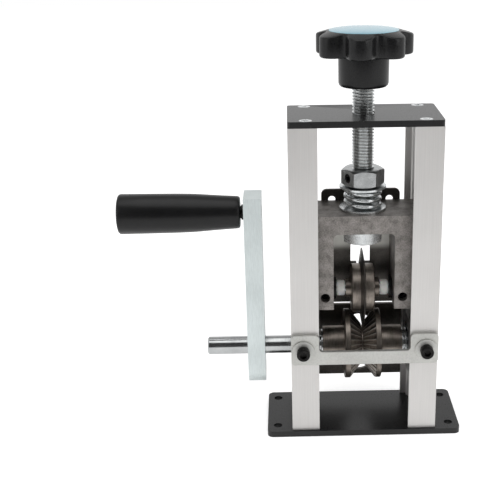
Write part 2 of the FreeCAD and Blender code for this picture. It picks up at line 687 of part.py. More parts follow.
def make_star_knob():
    """Seven-lobed knob on a hub, open at the top for the cap and below for the insert."""
    disc = turned("knob_disc", [("lobe_bottom", "0"), ("lobe_bottom", "knob_dia / 2"),
                                ("knob_top", "knob_dia / 2"), ("knob_top", "0")], "z")
    valley = disc.newObject("PartDesign::SubtractiveCylinder", "knob_valley_cut")
    plane = [item for item in disc.Origin.OriginFeatures if item.Role == "XY_Plane"][0]
    valley.AttachmentSupport = [(plane, "")]
    valley.MapMode = "FlatFace"
    bind(valley, "Radius", "valley_radius")
    bind(valley, "Height", "knob_top - lobe_bottom + 2 * gap")
    turn = size("lobe_turn") + 180 / size("lobe_count") - 90
    reach = "knob_valley + valley_radius"
    bind(valley, "AttachmentOffset.Base.x", "(%s) * cos(%f)" % (reach, turn))
    bind(valley, "AttachmentOffset.Base.y", "(%s) * sin(%f)" % (reach, turn))
    bind(valley, "AttachmentOffset.Base.z", "lobe_bottom - gap")
    disc.Tip = valley
    doc.recompute()
    pattern = disc.newObject("PartDesign::PolarPattern", "knob_lobes")
    pattern.Originals = [valley]
    axis = [item for item in disc.Origin.OriginFeatures if item.Role == "Z_Axis"][0]
    pattern.Axis = (axis, [""])
    pattern.Angle = 360
    bind(pattern, "Occurrences", "lobe_count")
    disc.Tip = pattern
    doc.recompute()
    rounded(disc, "lobe_radius", lambda edge: runs_along(edge, "z")
            and edge.Length > size("knob_top") - size("lobe_bottom") - size("gap"))
    profile = turned("knob_profile", [("hub_bottom", "0"), ("hub_bottom", "hub_dia / 2"),
                                      ("knob_shoulder", "hub_dia / 2"), ("knob_shoulder", "0")],
                     "z")
    rounded(profile, "hub_round", lambda edge: edge.BoundBox.ZMax < size("hub_bottom") + 1
            and edge.Curve.TypeId == "Part::GeomCircle")
    shoulder = turned("knob_shoulder_profile",
                      [("lobe_bottom", "0"), ("lobe_bottom", "knob_dia / 2 + gap"),
                       ("knob_shoulder", "knob_dia / 2 + gap"), ("knob_top", "cap_dia / 2"),
                       ("knob_top", "0")], "z")
    star = overlap("knob_star", [disc, shoulder])
    return cut("star_knob", join("knob_blank", [star, profile]),
               [rod("knob_insert_bore", ("0", "0", "hub_bottom - gap"), "insert_dia + fit",
                    "insert_length + gap"),
                rod("knob_cap_seat", ("0", "0", "knob_top - cap_recess"), "cap_dia + fit",
                    "cap_recess + gap")])


def make_knob_insert():
    """Threaded metal insert moulded into the hub."""
    return ring("knob_insert", ("0", "0", "hub_bottom"), "insert_dia", "screw_dia + fit",
                "insert_length")


def make_knob_cap():
    """Slightly domed disc in the knob's top."""
    low = "knob_top - cap_recess"
    return turned("knob_cap", [(low, "0"), (low, "cap_dia / 2 - fit"),
                               ("knob_top", "cap_dia / 2 - fit"),
                               ("knob_top + cap_dome / 2", "0.7 * cap_dia / 2"),
                               ("knob_top + cap_dome", "0.3 * cap_dia / 2"),
                               ("knob_top + cap_dome", "0")], "z")


# ---- spring pack -----------------------------------------------------------------------------
def make_spring_washer(name, z):
    """Washer at one end of the spring."""
    return ring(name, ("0", "0", z), "washer_dia", "washer_bore", "washer_thick")


def make_pressure_spring():
    """Short stiff coil spring between the two washers."""
    low = "slider_bottom + slider_height + washer_thick + spring_wire / 2 + fit"
    height = "upper_washer_z - fit - spring_wire / 2 - (%s)" % low
    helix = doc.addObject("Part::Helix", "spring_path")
    bind(helix, "Radius", "(spring_dia - spring_wire) / 2")
    bind(helix, "Height", height)
    bind(helix, "Pitch", "(%s) / spring_turns" % height)
    place(helix, ("0", "0", low))
    section = doc.addObject("Part::Circle", "spring_section")
    bind(section, "Radius", "spring_wire / 2")
    section.Placement.Rotation = FreeCAD.Rotation(AXES["z"], AXES["y"])
    place(section, ("(spring_dia - spring_wire) / 2", "0", low))
    sweep = doc.addObject("Part::Sweep", "pressure_spring")
    sweep.Sections = [section]
    sweep.Spine = (helix, [])
    sweep.Solid = True
    sweep.Frenet = True
    return sweep


# ---- slider ----------------------------------------------------------------------------------
def make_slider_block():
    """Cast bridge: a bar over the blade and two legs that carry its axle."""
    half, opening = "slider_width / 2", "slider_opening / 2"
    top = "slider_bottom + slider_height"
    under = top + " - slider_bar"
    points = [("-(%s)" % half, "slider_bottom"), ("-(%s)" % opening, "slider_bottom"),
              ("-(%s)" % opening, under), (opening, under), (opening, "slider_bottom"),
              (half, "slider_bottom"), (half, top), ("-(%s)" % half, top)]
    bridge = extruded("slider_blank", "XZ_Plane", points, "slider_depth",
                      ("0", "slider_depth / 2", "0"))
    rounded(bridge, "slider_round", lambda edge: runs_along(edge, "y")
            and abs(edge.CenterOfMass.x) < size("slider_opening")
            and edge.CenterOfMass.z > size("axle_z"))
    tools = [rod("bar_bore", ("0", "0", under + " - gap"), "slider_bore",
                 "slider_bar + 2 * gap"),
             rod("axle_bore", ("-axle_length / 2 - gap", "0", "axle_z"), "axle_dia + fit",
                 "axle_length + 2 * gap", "x")]
    for side, sign in SIDES.items():
        tools.append(rod(side + "_leg_tap", ("%s * leg_screw_x" % sign,
                                             "-slider_depth / 2 - gap", "axle_z"),
                         "leg_screw + 2 * fit", "slider_depth / 2 + gap", "y"))
    for tag, x, z in GUIDE_SCREWS:
        tools.append(rod("guide_tap" + tag, (x, "slider_depth / 2 - small_length", z),
                         "small_shank + 2 * fit", "small_length + gap", "y"))
    return cut("slider_block", bridge, tools)


def make_axle_screws():
    """Grub screws sunk in the legs, which hold the blade axle."""
    length = "leg_screw_length"
    return group("axle_grub_screws",
                 [grub_screw(side + "_leg_screw", ("%s * leg_screw_x" % sign,
                                                   "-axle_dia / 2 - fit - leg_screw_length",
                                                   "axle_z"), "y", "leg_screw", length)
                  for side, sign in SIDES.items()])


def make_blade_axle():
    """Plain pin across the legs."""
    return rod("blade_axle", ("-axle_length / 2", "0", "axle_z"), "axle_dia", "axle_length", "x")


def make_pair(name, near, outer, bore, length):
    """A ring on the blade axle either side of the blade."""
    return group(name, [ring("%s_%s" % (side, name), (inner_end(side, near, length), "0",
                                                      "axle_z"), outer, bore, length, "x")
                        for side in SIDES])


GUIDE_SCREWS = [("_%d" % number, "%d * guide_screw_x" % across, level)
                for number, (across, level) in enumerate(((-1, "guide_screw_low"),
                                                          (1, "guide_screw_low"),
                                                          (1, "guide_screw_high"),
                                                          (-1, "guide_screw_high")))]


def make_guide_plate():
    """Plate on the slider's back: a window to watch the wire and a slot the blade turns in."""
    top = "guide_bottom + guide_height"
    plate = extruded("guide_blank", "XZ_Plane",
                     rectangle("guide_width", "guide_bottom", top), "guide_thick",
                     ("0", "slider_depth / 2 + guide_thick", "0"))
    rounded(plate, "guide_corner", lambda edge: runs_along(edge, "y"))
    start, through = "slider_depth / 2 - gap", "guide_thick + 2 * gap"
    tools = [block("guide_window", ("-window_width / 2", start, "window_bottom"),
                   "window_width", through, "window_top - window_bottom"),
             block("guide_channel", ("-guide_slot / 2", start, "guide_bottom - gap"),
                   "guide_slot", through, "window_bottom - guide_bottom + 2 * gap")]
    tools += [rod(side + "_guide_ear", ("%s * guide_hole_x" % sign, start, "guide_hole_z"),
                  "guide_hole", through, "y") for side, sign in SIDES.items()]
    tools += [rod("guide_clear" + tag, (x, start, z), "small_shank + 2 * fit", through, "y")
              for tag, x, z in GUIDE_SCREWS]
    return cut("guide_plate", plate, tools)


def make_guide_screws():
    """Low round-head screws that hold the guide plate on the slider."""
    y = "slider_depth / 2 + guide_thick"
    screws = []
    for tag, x, z in GUIDE_SCREWS:
        head = rod("small_head" + tag, (x, y, z), "small_head", "small_height", "y")
        shank = rod("small_shank" + tag, (x, y, z), "small_shank",
                    "small_length", "-y")
        slot = block("small_slot" + tag, ("%s - small_head / 2" % x,
                                          "%s + small_height / 2" % y,
                                          "%s - cross_width / 2" % z),
                     "small_head", "small_height", "cross_width")
        screws.append(cut("guide_screw" + tag, join("guide_screw_blank" + tag, [head, shank]),
                          [slot]))
    return group("guide_plate_screws", screws)


# ---- blade -----------------------------------------------------------------------------------
COLLAR_SCREWS = ["360 / collar_screw_count * %d + 90" % number
                 for number in range(size("collar_screw_count"))]


def screw_circle(x, angle):
    """A point on the circle of the collar screws."""
    return (x, "collar_screw_pitch / 2 * cos(%s)" % angle,
            "axle_z + collar_screw_pitch / 2 * sin(%s)" % angle)


def make_blade_disc():
    """Slitting disc, bevelled on both faces down to a narrow edge."""
    half, bore = "blade_thick / 2", "bush_dia / 2 + fit / 2"
    points = [("-" + half, bore), ("-" + half, "bevel_start / 2"),
              ("-blade_edge / 2", "blade_dia / 2"), ("blade_edge / 2", "blade_dia / 2"),
              (half, "bevel_start / 2"), (half, bore)]
    blank = turned("blade_blank", points, "x", ON_AXLE)
    return cut("blade_disc", blank,
               [rod("blade_hole_%d" % number, screw_circle("-blade_thick", angle),
                    "collar_screw + 2 * fit", "2 * blade_thick", "x")
                for number, angle in enumerate(COLLAR_SCREWS)])


def make_collar(side):
    """Clamp collar beside the blade, its outer edge broken."""
    sign, bore = SIDES[side], "(bush_dia + fit) / 2"
    near = "%s * blade_thick / 2" % sign
    far = "%s * (blade_thick / 2 + collar_width)" % sign
    broken = "%s * (blade_thick / 2 + collar_width - collar_round)" % sign
    blank = turned(side + "_collar_blank",
                   [(near, bore), (near, "collar_dia / 2"), (broken, "collar_dia / 2"),
                    (far, "collar_dia / 2 - collar_round"), (far, bore)], "x", ON_AXLE)
    start = inner_end(side, "blade_thick / 2 - gap", "collar_width + 2 * gap")
    return cut(side + "_collar", blank,
               [rod("%s_collar_hole_%d" % (side, number), screw_circle(start, angle),
                    "collar_screw + 2 * fit", "collar_width + 2 * gap", "x")
                for number, angle in enumerate(COLLAR_SCREWS)])


def make_blade_bush():
    """Steel bush through the blade and its collars."""
    return ring("blade_bush", ("-bush_length / 2", "0", "axle_z"), "bush_dia", "bush_bore",
                "bush_length", "x")


def make_collar_screws():
    """Pins through both collars and the blade."""
    start = "-blade_thick / 2 - collar_width + gap"
    return group("collar_screws",
                 [rod("collar_screw_%d" % number, screw_circle(start, angle), "collar_screw",
                      "blade_thick + 2 * collar_width - 2 * gap", "x")
                  for number, angle in enumerate(COLLAR_SCREWS)])


# ---- every piece, with the name of its node ---------------------------------------------------
nodes = [make_base_plate(), make_top_plate(),
         make_plate_screws("base_plate_screws", "0", "z"),
         make_plate_screws("top_plate_screws", PLATE_Z + " + top_thick", "-z"),
         make_front_tie_bracket(), make_front_tie_washers(), make_front_tie_screws(),
         make_rear_tie_plate(), make_rear_tie_screws(),
         make_drive_shaft(), make_retaining_ring(), make_feed_roller(), make_sleeve_screws(),
         make_thrust_washers(), make_crank_arm(), make_crank_arm_screw(),
         make_handle_spindle(), make_hand_grip(),
         make_pressure_screw(), make_lock_nut(), make_lock_nut_screw(), make_star_knob(),
         make_knob_insert(), make_knob_cap(),
         make_spring_washer("upper_spring_washer", "upper_washer_z"),
         make_spring_washer("lower_spring_washer", "slider_bottom + slider_height"),
         make_pressure_spring(),
         make_slider_block(), make_axle_screws(), make_blade_axle(),
         make_pair("axle_spacers", "spacer_x", "spacer_dia", "axle_dia + fit", "spacer_length"),
         make_pair("axle_washers", "axle_washer_x", "axle_washer_dia", "axle_dia + fit",
                   "axle_washer_thick"),
         make_guide_plate(), make_guide_screws(),
         make_blade_disc(), make_blade_bush(), make_collar_screws()]
for side in SIDES:
    nodes += [make_post(side), make_bearing_block(side), make_outer_ring(side),
              make_inner_ring(side), make_balls(side), make_sleeve(side), make_collar(side)]

doc.recompute()
for item in doc.Objects:
    if "Invalid" in item.State or "Error" in item.State:
        raise RuntimeError("%s failed: %s" % (item.Label, item.State))
os.makedirs("parts", exist_ok=True)
for piece in nodes:
    if piece.Shape.isNull() or not piece.Shape.isValid():
        raise RuntimeError("%s has no valid shape" % piece.Label)
    piece.Shape.exportStep("parts/%s.step" % piece.Label)
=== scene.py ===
import json
import math

import bmesh
import bpy
from mathutils import Matrix, Vector


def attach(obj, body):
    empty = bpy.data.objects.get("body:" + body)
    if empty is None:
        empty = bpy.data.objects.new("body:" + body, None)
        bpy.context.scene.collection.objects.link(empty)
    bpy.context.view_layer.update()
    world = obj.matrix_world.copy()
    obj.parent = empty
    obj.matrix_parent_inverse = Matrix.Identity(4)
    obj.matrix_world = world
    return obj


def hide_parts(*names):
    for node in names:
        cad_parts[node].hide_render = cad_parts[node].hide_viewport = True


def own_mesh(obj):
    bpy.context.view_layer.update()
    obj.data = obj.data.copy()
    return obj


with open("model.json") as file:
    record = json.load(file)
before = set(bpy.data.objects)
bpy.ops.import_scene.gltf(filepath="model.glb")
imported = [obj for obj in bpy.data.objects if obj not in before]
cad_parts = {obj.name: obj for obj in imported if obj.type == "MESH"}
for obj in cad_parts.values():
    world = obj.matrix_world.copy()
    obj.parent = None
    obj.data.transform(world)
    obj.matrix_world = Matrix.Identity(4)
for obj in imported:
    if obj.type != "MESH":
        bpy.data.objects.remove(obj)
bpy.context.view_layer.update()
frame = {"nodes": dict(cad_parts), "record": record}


# Base plate: the foot that screws to a bench.  Hot-rolled steel plate, laser cut and powder
# coated black, so its faces carry a fine orange peel and its edges are a little rounded.
MM = 0.001
SHARP_ANGLE = math.radians(32)
BODY_OF = {name: body for body, names in frame["record"]["behaviour"]["bodies"].items()
           for name in names}


def linear(code):
    """The linear colour of an sRGB hex code."""
    channels = [int(code[i:i + 2], 16) / 255 for i in (1, 3, 5)]
    return [c / 12.92 if c <= 0.04045 else ((c + 0.055) / 1.055) ** 2.4 for c in channels] + [1]


def add(tree, kind, inputs=None, **settings):
    """A new node with its settings, and its inputs set to values or linked to other outputs."""
    made = tree.nodes.new(kind)
    for name, value in settings.items():
        setattr(made, name, value)
    for name, value in (inputs or {}).items():
        if isinstance(value, bpy.types.NodeSocket):
            tree.links.new(value, made.inputs[name])
        else:
            made.inputs[name].default_value = value
    return made


def finish(name, dark, light, cloud_mm, marks_mm, stretch=(1, 1, 1), rough=(0.3, 0.5),
           relief_mm=0.0, **constants):
    """A worked surface.  Broad clouds and fine marks move its colour between two tones, and the
    marks, drawn out by stretch the way the tool went, move its roughness and stand in relief.
    Real marks of grinding, turning and drawing are finer, and these are as coarse as they need
    to be to show."""
    # Each noise stays near 0.5, so the sum of both stays near 1.
    sum_low, sum_high = 0.75, 1.25
    marks_low, marks_high = 0.3, 0.7
    material = bpy.data.materials.new(name)
    material.use_nodes = True
    tree = material.node_tree
    shader = tree.nodes["Principled BSDF"]
    place = add(tree, "ShaderNodeTexCoord").outputs["Object"]
    clouds = add(tree, "ShaderNodeTexNoise",
                 {"Vector": place, "Scale": 1000 / cloud_mm, "Detail": 4.0})
    worked = add(tree, "ShaderNodeMapping",
                 {"Vector": place, "Scale": [1000 / marks_mm / share for share in stretch]})
    marks = add(tree, "ShaderNodeTexNoise",
                {"Vector": worked.outputs["Vector"], "Scale": 1.0, "Detail": 3.0})
    both = add(tree, "ShaderNodeMath", {0: clouds.outputs["Fac"], 1: marks.outputs["Fac"]})
    tone = add(tree, "ShaderNodeMapRange",
               {"Value": both.outputs[0], "From Min": sum_low, "From Max": sum_high})
    colour = add(tree, "ShaderNodeMix", {0: tone.outputs["Result"], 6: linear(dark),
                                         7: linear(light)}, data_type="RGBA")
    sheen = add(tree, "ShaderNodeMapRange",
                {"Value": marks.outputs["Fac"], "From Min": marks_low, "From Max": marks_high,
                 "To Min": rough[0], "To Max": rough[1]})
    relief = add(tree, "ShaderNodeBump",
                 {"Height": marks.outputs["Fac"], "Distance": relief_mm * MM})
    tree.links.new(colour.outputs[2], shader.inputs["Base Color"])
    tree.links.new(sheen.outputs["Result"], shader.inputs["Roughness"])
    tree.links.new(relief.outputs["Normal"], shader.inputs["Normal"])
    for socket, value in constants.items():
        shader.inputs[socket.replace("_", " ")].default_value = value
    return material


def piece(name, mesh, material, *nodes):
    """A finished piece that stands for CAD nodes, on their body."""
    made = bpy.data.objects.new(name, mesh)
    bpy.context.collection.objects.link(made)
    mesh.materials.clear()
    mesh.materials.append(material)
    for face in mesh.polygons:
        face.use_smooth = True
    mesh.set_sharp_from_angle(angle=SHARP_ANGLE)
    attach(made, BODY_OF[nodes[0]])
    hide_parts(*nodes)
    return made


def cleaned(node):
    """A node's mesh with its loose triangles merged into whole faces."""
    shape = bmesh.new()
    shape.from_mesh(frame["nodes"][node].data)
    bmesh.ops.remove_doubles(shape, verts=shape.verts, dist=2e-6)
    bmesh.ops.dissolve_limit(shape, angle_limit=math.radians(0.5), verts=shape.verts,
                             edges=shape.edges)
    mesh = bpy.data.meshes.new(node + "_mesh")
    shape.to_mesh(mesh)
    shape.free()
    return mesh


def softened(node, material, radius_mm, segments=2, share=None):
    """A copy of a node whose sharp edges are rounded, as deburring and plating leave them.
    Where given, share tells what part of the radius an edge with that middle takes."""
    mesh = cleaned(node)
    made = piece(node + "_body", mesh, material, node)
    bevel = made.modifiers.new("edge_break", "BEVEL")
    bevel.width = radius_mm * MM
    bevel.segments = segments
    bevel.limit_method = "ANGLE"
    bevel.angle_limit = SHARP_ANGLE
    bevel.harden_normals = True
    if share:
        bevel.limit_method = "WEIGHT"
        weights = mesh.attributes.new("bevel_weight_edge", "FLOAT", "EDGE")
        for edge in mesh.edges:
            if edge.use_edge_sharp:
                ends = [mesh.vertices[v].co for v in edge.vertices]
                weights.data[edge.index].value = share((ends[0] + ends[1]) / 2 / MM)
    return made


black_powder_coat = finish("black_powder_coated_steel", "#0A0A0B", "#131314", cloud_mm=16,
                           marks_mm=0.7, rough=(0.26, 0.36), relief_mm=0.02)
softened("base_plate", black_powder_coat, radius_mm=0.5)


# Countersunk screws of both plates: cross-head machine screws, cold headed and plated with bright
# zinc, which shines like cold silver.  Four under the foot and four through the head plate hold
# the posts.
def turned(profile, centre=(0, 0, 0), axis="z", steps=96, closed=True):
    """A lathe-turned mesh from (along, radius) pairs in millimetres.  A zero radius is a pole,
    and a pair may be a function of the angle, for sockets and lobes."""
    turn = Matrix.Identity(3) if axis == "z" else Matrix.Rotation(math.pi / 2, 3, "Y")
    shape = bmesh.new()
    rings = []
    for spot in profile:
        ring = []
        for k in range(steps):
            angle = math.tau * k / steps
            along, radius = spot(angle) if callable(spot) else spot
            if radius == 0 and ring:
                break
            point = Vector((radius * math.cos(angle), radius * math.sin(angle), along))
            ring.append(shape.verts.new((Vector(centre) + turn @ point) * MM))
        rings.append(ring)
    for low, high in list(zip(rings, rings[1:])) + ([(rings[-1], rings[0])] if closed else []):
        for k in range(steps):
            corners = [low[k % len(low)], low[(k + 1) % len(low)], high[(k + 1) % len(high)],
                       high[k % len(high)]]
            corners = [c for n, c in enumerate(corners) if c not in corners[:n]]
            if len(corners) > 2:
                shape.faces.new(corners)
    bmesh.ops.recalc_face_normals(shape, faces=shape.faces)
    mesh = bpy.data.meshes.new("turned")
    shape.to_mesh(mesh)
    shape.free()
    return mesh


def cross(along, reach, half_width):
    """The outline of a cross recess."""
    def spot(angle):
        off = (angle + math.pi / 4) % (math.pi / 2) - math.pi / 4
        return along, min(reach / math.cos(off), half_width / max(abs(math.sin(off)), 1e-6))
    return spot


def new_tree(name, **sizes):
    """An empty Geometry Nodes tree and what it is given: a mesh, the named sizes and the
    material of its surface.  It gives back a mesh."""
    tree = bpy.data.node_groups.new(name, "GeometryNodeTree")
    for label, kind in {"Geometry": "Geometry", **sizes, "Surface": "Material"}.items():
        tree.interface.new_socket(label, in_out="INPUT", socket_type="NodeSocket" + kind)
    tree.interface.new_socket("Geometry", in_out="OUTPUT", socket_type="NodeSocketGeometry")
    return tree, add(tree, "NodeGroupInput").outputs


def fastening_tree():
    """Geometry Nodes: one screw set on every given point, each turned by chance as it was left
    when it was tightened."""
    tree, given = new_tree("fastening", Screw="Object", Facing="Vector", Seed="Int")
    screw = add(tree, "GeometryNodeObjectInfo", {"Object": given["Screw"]})
    copies = add(tree, "GeometryNodeInstanceOnPoints",
                 {"Points": given["Geometry"], "Instance": screw.outputs["Geometry"],
                  "Rotation": given["Facing"]})
    chance = add(tree, "FunctionNodeRandomValue", {"Seed": given["Seed"]}, data_type="FLOAT")
    angle = add(tree, "ShaderNodeMath", {0: chance.outputs[1], 1: math.tau},
                operation="MULTIPLY")
    twist = add(tree, "ShaderNodeCombineXYZ", {"Z": angle.outputs[0]})
    left = add(tree, "GeometryNodeRotateInstances",
               {"Instances": copies.outputs["Instances"], "Rotation": twist.outputs[0],
                "Local Space": True})
    real = add(tree, "GeometryNodeRealizeInstances", {"Geometry": left.outputs["Instances"]})
    painted = add(tree, "GeometryNodeSetMaterial",
                  {"Geometry": real.outputs["Geometry"], "Material": given["Surface"]})
    add(tree, "NodeGroupOutput", {"Geometry": painted.outputs["Geometry"]})
    return tree


def grown(base, tree, values):
    """The plain mesh that a Geometry Nodes tree makes of a mesh with the given inputs."""
    carrier = bpy.data.objects.new("carrier", base)
    bpy.context.collection.objects.link(carrier)
    modifier = carrier.modifiers.new("grow", "NODES")
    modifier.node_group = tree
    for item in tree.interface.items_tree:
        if item.in_out == "INPUT" and item.name in values:
            modifier[item.identifier] = values[item.name]
    bpy.context.view_layer.update()
    mesh = bpy.data.meshes.new_from_object(
        carrier.evaluated_get(bpy.context.evaluated_depsgraph_get()))
    carrier.modifiers.clear()
    bpy.data.objects.remove(carrier)
    return mesh


def fastened(node, screw, spots, material, facing, seed):
    """The screws of one node, from one turned screw and the millimetre spots of their seats."""
    pattern = bpy.data.objects.new("pattern", screw)
    points = bpy.data.meshes.new("points")
    points.from_pydata([[v * MM for v in spot] for spot in spots], [], [])
    mesh = grown(points, fastening, {"Screw": pattern, "Facing": facing, "Seed": seed,
                                     "Surface": material})
    bpy.data.objects.remove(pattern)
    return piece(node + "_set", mesh, material, node)


fastening = fastening_tree()
bright_zinc = finish("bright_zinc_plated_steel", "#C6CACC", "#EEF0F0", cloud_mm=3.0,
                     marks_mm=0.25, rough=(0.2, 0.34), relief_mm=0.004, Metallic=1.0)
PORT_X, PORT_Y, HEAD_TOP = 36.5, 21.8, 212.0
FLAT_HEAD = [(-18, 0), (-18, 2.0), (-17.6, 2.25), (-2.6, 2.25), (-0.25, 3.9), (-0.05, 4.0),
             (0, 3.9), cross(0, 2.5, 0.62), cross(-0.15, 2.4, 0.55), cross(-1.5, 1.5, 0.4),
             (-1.9, 0)]
for screws, seat_z, tip in (("top_plate_screws", HEAD_TOP, 0.0),
                            ("base_plate_screws", 0.0, math.pi)):
    fastened(screws, turned(FLAT_HEAD, closed=False),
             [(x, y, seat_z) for x in (-PORT_X, PORT_X) for y in (-PORT_Y, PORT_Y)],
             bright_zinc, facing=(tip, 0.0, 0.0), seed=4)


# Posts: aluminium channel extrusions with two screw ports each, cut to length and anodised in
# natural silver.  The die leaves faint lines along their length and the anodising a soft sheen.
anodised = finish("satin_anodised_aluminium", "#D6D4D2", "#DEDCDA", cloud_mm=40, marks_mm=0.7,
                  stretch=(1, 1, 60), rough=(0.42, 0.5), relief_mm=0.003, Metallic=0.75)
for post in ("left_post", "right_post"):
    softened(post, anodised, radius_mm=0.25)


# Bearing blocks: sawn and milled aluminium inside the posts, with the cutter's tracks across
# them.  Each is bored for a ball bearing of chrome steel, polished until it mirrors.
milled = finish("milled_aluminium", "#8C8C8A", "#A8A8A6", cloud_mm=12, marks_mm=0.6,
                stretch=(1, 12, 1), rough=(0.32, 0.48), relief_mm=0.006, Metallic=1.0)
bearing_steel = finish("polished_bearing_steel", "#A6A8AA", "#BFC1C2", cloud_mm=8, marks_mm=0.4,
                       stretch=(0.5, 6, 6), rough=(0.12, 0.2), Metallic=1.0)
for side in ("left", "right"):
    softened(side + "_bearing_block", milled, radius_mm=0.4)
    for race in ("outer_ring", "inner_ring"):
        softened("%s_bearing_%s" % (side, race), bearing_steel, radius_mm=0.25)
    softened(side + "_bearing_balls", bearing_steel, radius_mm=0.01, segments=1)


# Drive shaft: a 12 mm steel bar, centreless ground, which leaves fine rings round it that
# stretch a highlight across the bar.  A clip ring blackened to a satin oxide and thin bright
# washers sit on it.
ground = finish("ground_steel_bar", "#B0B2B3", "#C9CBCB", cloud_mm=10, marks_mm=0.3,
                stretch=(0.6, 20, 20), rough=(0.14, 0.24), relief_mm=0.003, Metallic=1.0)
softened("drive_shaft", ground, radius_mm=0.2)
black_oxide = finish("black_oxide_steel", "#181818", "#2B2A29", cloud_mm=3, marks_mm=0.3,
                     rough=(0.28, 0.42), relief_mm=0.004, Metallic=0.85)
softened("shaft_retaining_ring", black_oxide, radius_mm=0.1)
softened("thrust_washers", bright_zinc, radius_mm=0.12)


# Sleeves and feed roller: turned from tool steel and hardened in oil, which leaves them a brown
# black.  The roller's groove has a coarse straight knurl that grips the wire.  Its crests are
# lighter: the wire has rubbed them bright, and the lighter tone is also a painted highlight.
hardened = finish("oil_hardened_tool_steel", "#6E6761", "#A39A91", cloud_mm=7, marks_mm=0.35,
                  stretch=(0.7, 16, 16), rough=(0.3, 0.46), relief_mm=0.008, Metallic=1.0)
for side in ("left", "right"):
    softened(side + "_sleeve", hardened, radius_mm=0.4)
softened("sleeve_grub_screws", black_oxide, radius_mm=0.1)
SHAFT_Z = 55.0
ROLLER = [(-11.9, 6.03), (-11.9, 22.85), (-11.5, 23.25), (-8.5, 23.25), (-8.3, 22.2),
          (-0.4, 12.05), (0.4, 12.05), (8.3, 22.2), (8.5, 23.25), (11.5, 23.25), (11.9, 22.85),
          (11.9, 6.03)]
KNURL_TEETH, TOOTH_WIDTH, TOOTH_HEIGHT = 36, 2.6, 1.1
# The two ends of a tooth's crest: how far across from the roller's middle, and its radius.
CREST_ENDS = ((0.5, 13.2), (8.25, 23.15))
# Where along the crest mask the lighter tone, rubbed wear and painted highlight, starts and is
# full.
RUB_AND_HIGHLIGHT_FROM, RUB_AND_HIGHLIGHT_FULL = 0.45, 0.9


def varied(base, name):
    """A copy of a finish with another name, its tree, its colour socket and what feeds that."""
    made = base.copy()
    made.name = name
    socket = made.node_tree.nodes["Principled BSDF"].inputs["Base Color"]
    return made, made.node_tree, socket, socket.links[0].from_socket


knurled_wear_and_highlight, knurled_wear_highlight_tree, knurled_wear_highlight_colour, turned_tone = varied(hardened, "worn_knurled_tool_steel")
# Crests lightened: rubbed by the wire, and also a painted highlight.
crest_wear_and_highlight = add(knurled_wear_highlight_tree, "ShaderNodeAttribute", attribute_name="crest_wear_and_highlight").outputs["Fac"]
rubbed_and_highlighted = add(knurled_wear_highlight_tree, "ShaderNodeMapRange",
             {"Value": crest_wear_and_highlight, "From Min": RUB_AND_HIGHLIGHT_FROM, "From Max": RUB_AND_HIGHLIGHT_FULL})
crest_wear_and_highlight_tone = add(knurled_wear_highlight_tree, "ShaderNodeMix",
                 {0: rubbed_and_highlighted.outputs["Result"], 6: turned_tone, 7: linear("#C4C1BD")},
                 data_type="RGBA")
knurled_wear_highlight_tree.links.new(crest_wear_and_highlight_tone.outputs[2], knurled_wear_highlight_colour)


def knurl_tree():
    """Geometry Nodes: a pair of teeth repeated round the groove's two cones, and the roller."""
    tree, given = new_tree("groove_knurl", Teeth="Int", Tooth="Object", Shaft="Vector")
    teeth = add(tree, "GeometryNodeObjectInfo", {"Object": given["Tooth"]})
    line = add(tree, "GeometryNodeMeshLine", {"Count": given["Teeth"], "Offset": (0, 0, 0),
                                              "Start Location": given["Shaft"]})
    number = add(tree, "GeometryNodeInputIndex").outputs["Index"]
    share = add(tree, "ShaderNodeMath", {0: number, 1: given["Teeth"]}, operation="DIVIDE")
    angle = add(tree, "ShaderNodeMath", {0: share.outputs[0], 1: math.tau},
                operation="MULTIPLY")
    turn = add(tree, "ShaderNodeCombineXYZ", {"X": angle.outputs[0]})
    copies = add(tree, "GeometryNodeInstanceOnPoints",
                 {"Points": line.outputs["Mesh"], "Instance": teeth.outputs["Geometry"],
                  "Rotation": turn.outputs[0]})
    both = add(tree, "GeometryNodeJoinGeometry")
    tree.links.new(given["Geometry"], both.inputs["Geometry"])
    tree.links.new(copies.outputs["Instances"], both.inputs["Geometry"])
    real = add(tree, "GeometryNodeRealizeInstances", {"Geometry": both.outputs["Geometry"]})
    painted = add(tree, "GeometryNodeSetMaterial",
                  {"Geometry": real.outputs["Geometry"], "Material": given["Surface"]})
    add(tree, "NodeGroupOutput", {"Geometry": painted.outputs["Geometry"]})
    return tree


def knurl_tooth():
    """A ridge on each cone, narrower towards the groove's root, its crest marked for wear and
    painted highlight.
    """
    shape = bmesh.new()
    crest_wear_and_highlight = shape.verts.layers.float.new("crest_wear_and_highlight")
    for sign in (-1, 1):
        sections = []
        for x, crest in CREST_ENDS:
            half = TOOTH_WIDTH / 2 * crest / CREST_ENDS[1][1]
            sections.append([shape.verts.new((sign * x * MM, y * MM, r * MM))
                             for y, r in ((-half, crest - TOOTH_HEIGHT), (0, crest),
                                          (half, crest - TOOTH_HEIGHT))])
            sections[-1][1][crest_wear_and_highlight] = 1.0
        inner, outer = sections
        for k in range(3):
            shape.faces.new((inner[k], inner[(k + 1) % 3], outer[(k + 1) % 3], outer[k]))
        shape.faces.new(inner)
        shape.faces.new(outer)
    bmesh.ops.recalc_face_normals(shape, faces=shape.faces)
    mesh = bpy.data.meshes.new("tooth")
    shape.to_mesh(mesh)
    shape.free()
    return mesh


tooth = bpy.data.objects.new("tooth", knurl_tooth())
roller_mesh = grown(turned(ROLLER, (0, 0, SHAFT_Z), "x"), knurl_tree(),
                    {"Teeth": KNURL_TEETH, "Tooth": tooth, "Shaft": (0.0, 0.0, SHAFT_Z * MM),
                     "Surface": knurled_wear_and_highlight})
bpy.data.objects.remove(tooth)
piece("knurled_feed_roller", roller_mesh, knurled_wear_and_highlight, "feed_roller")


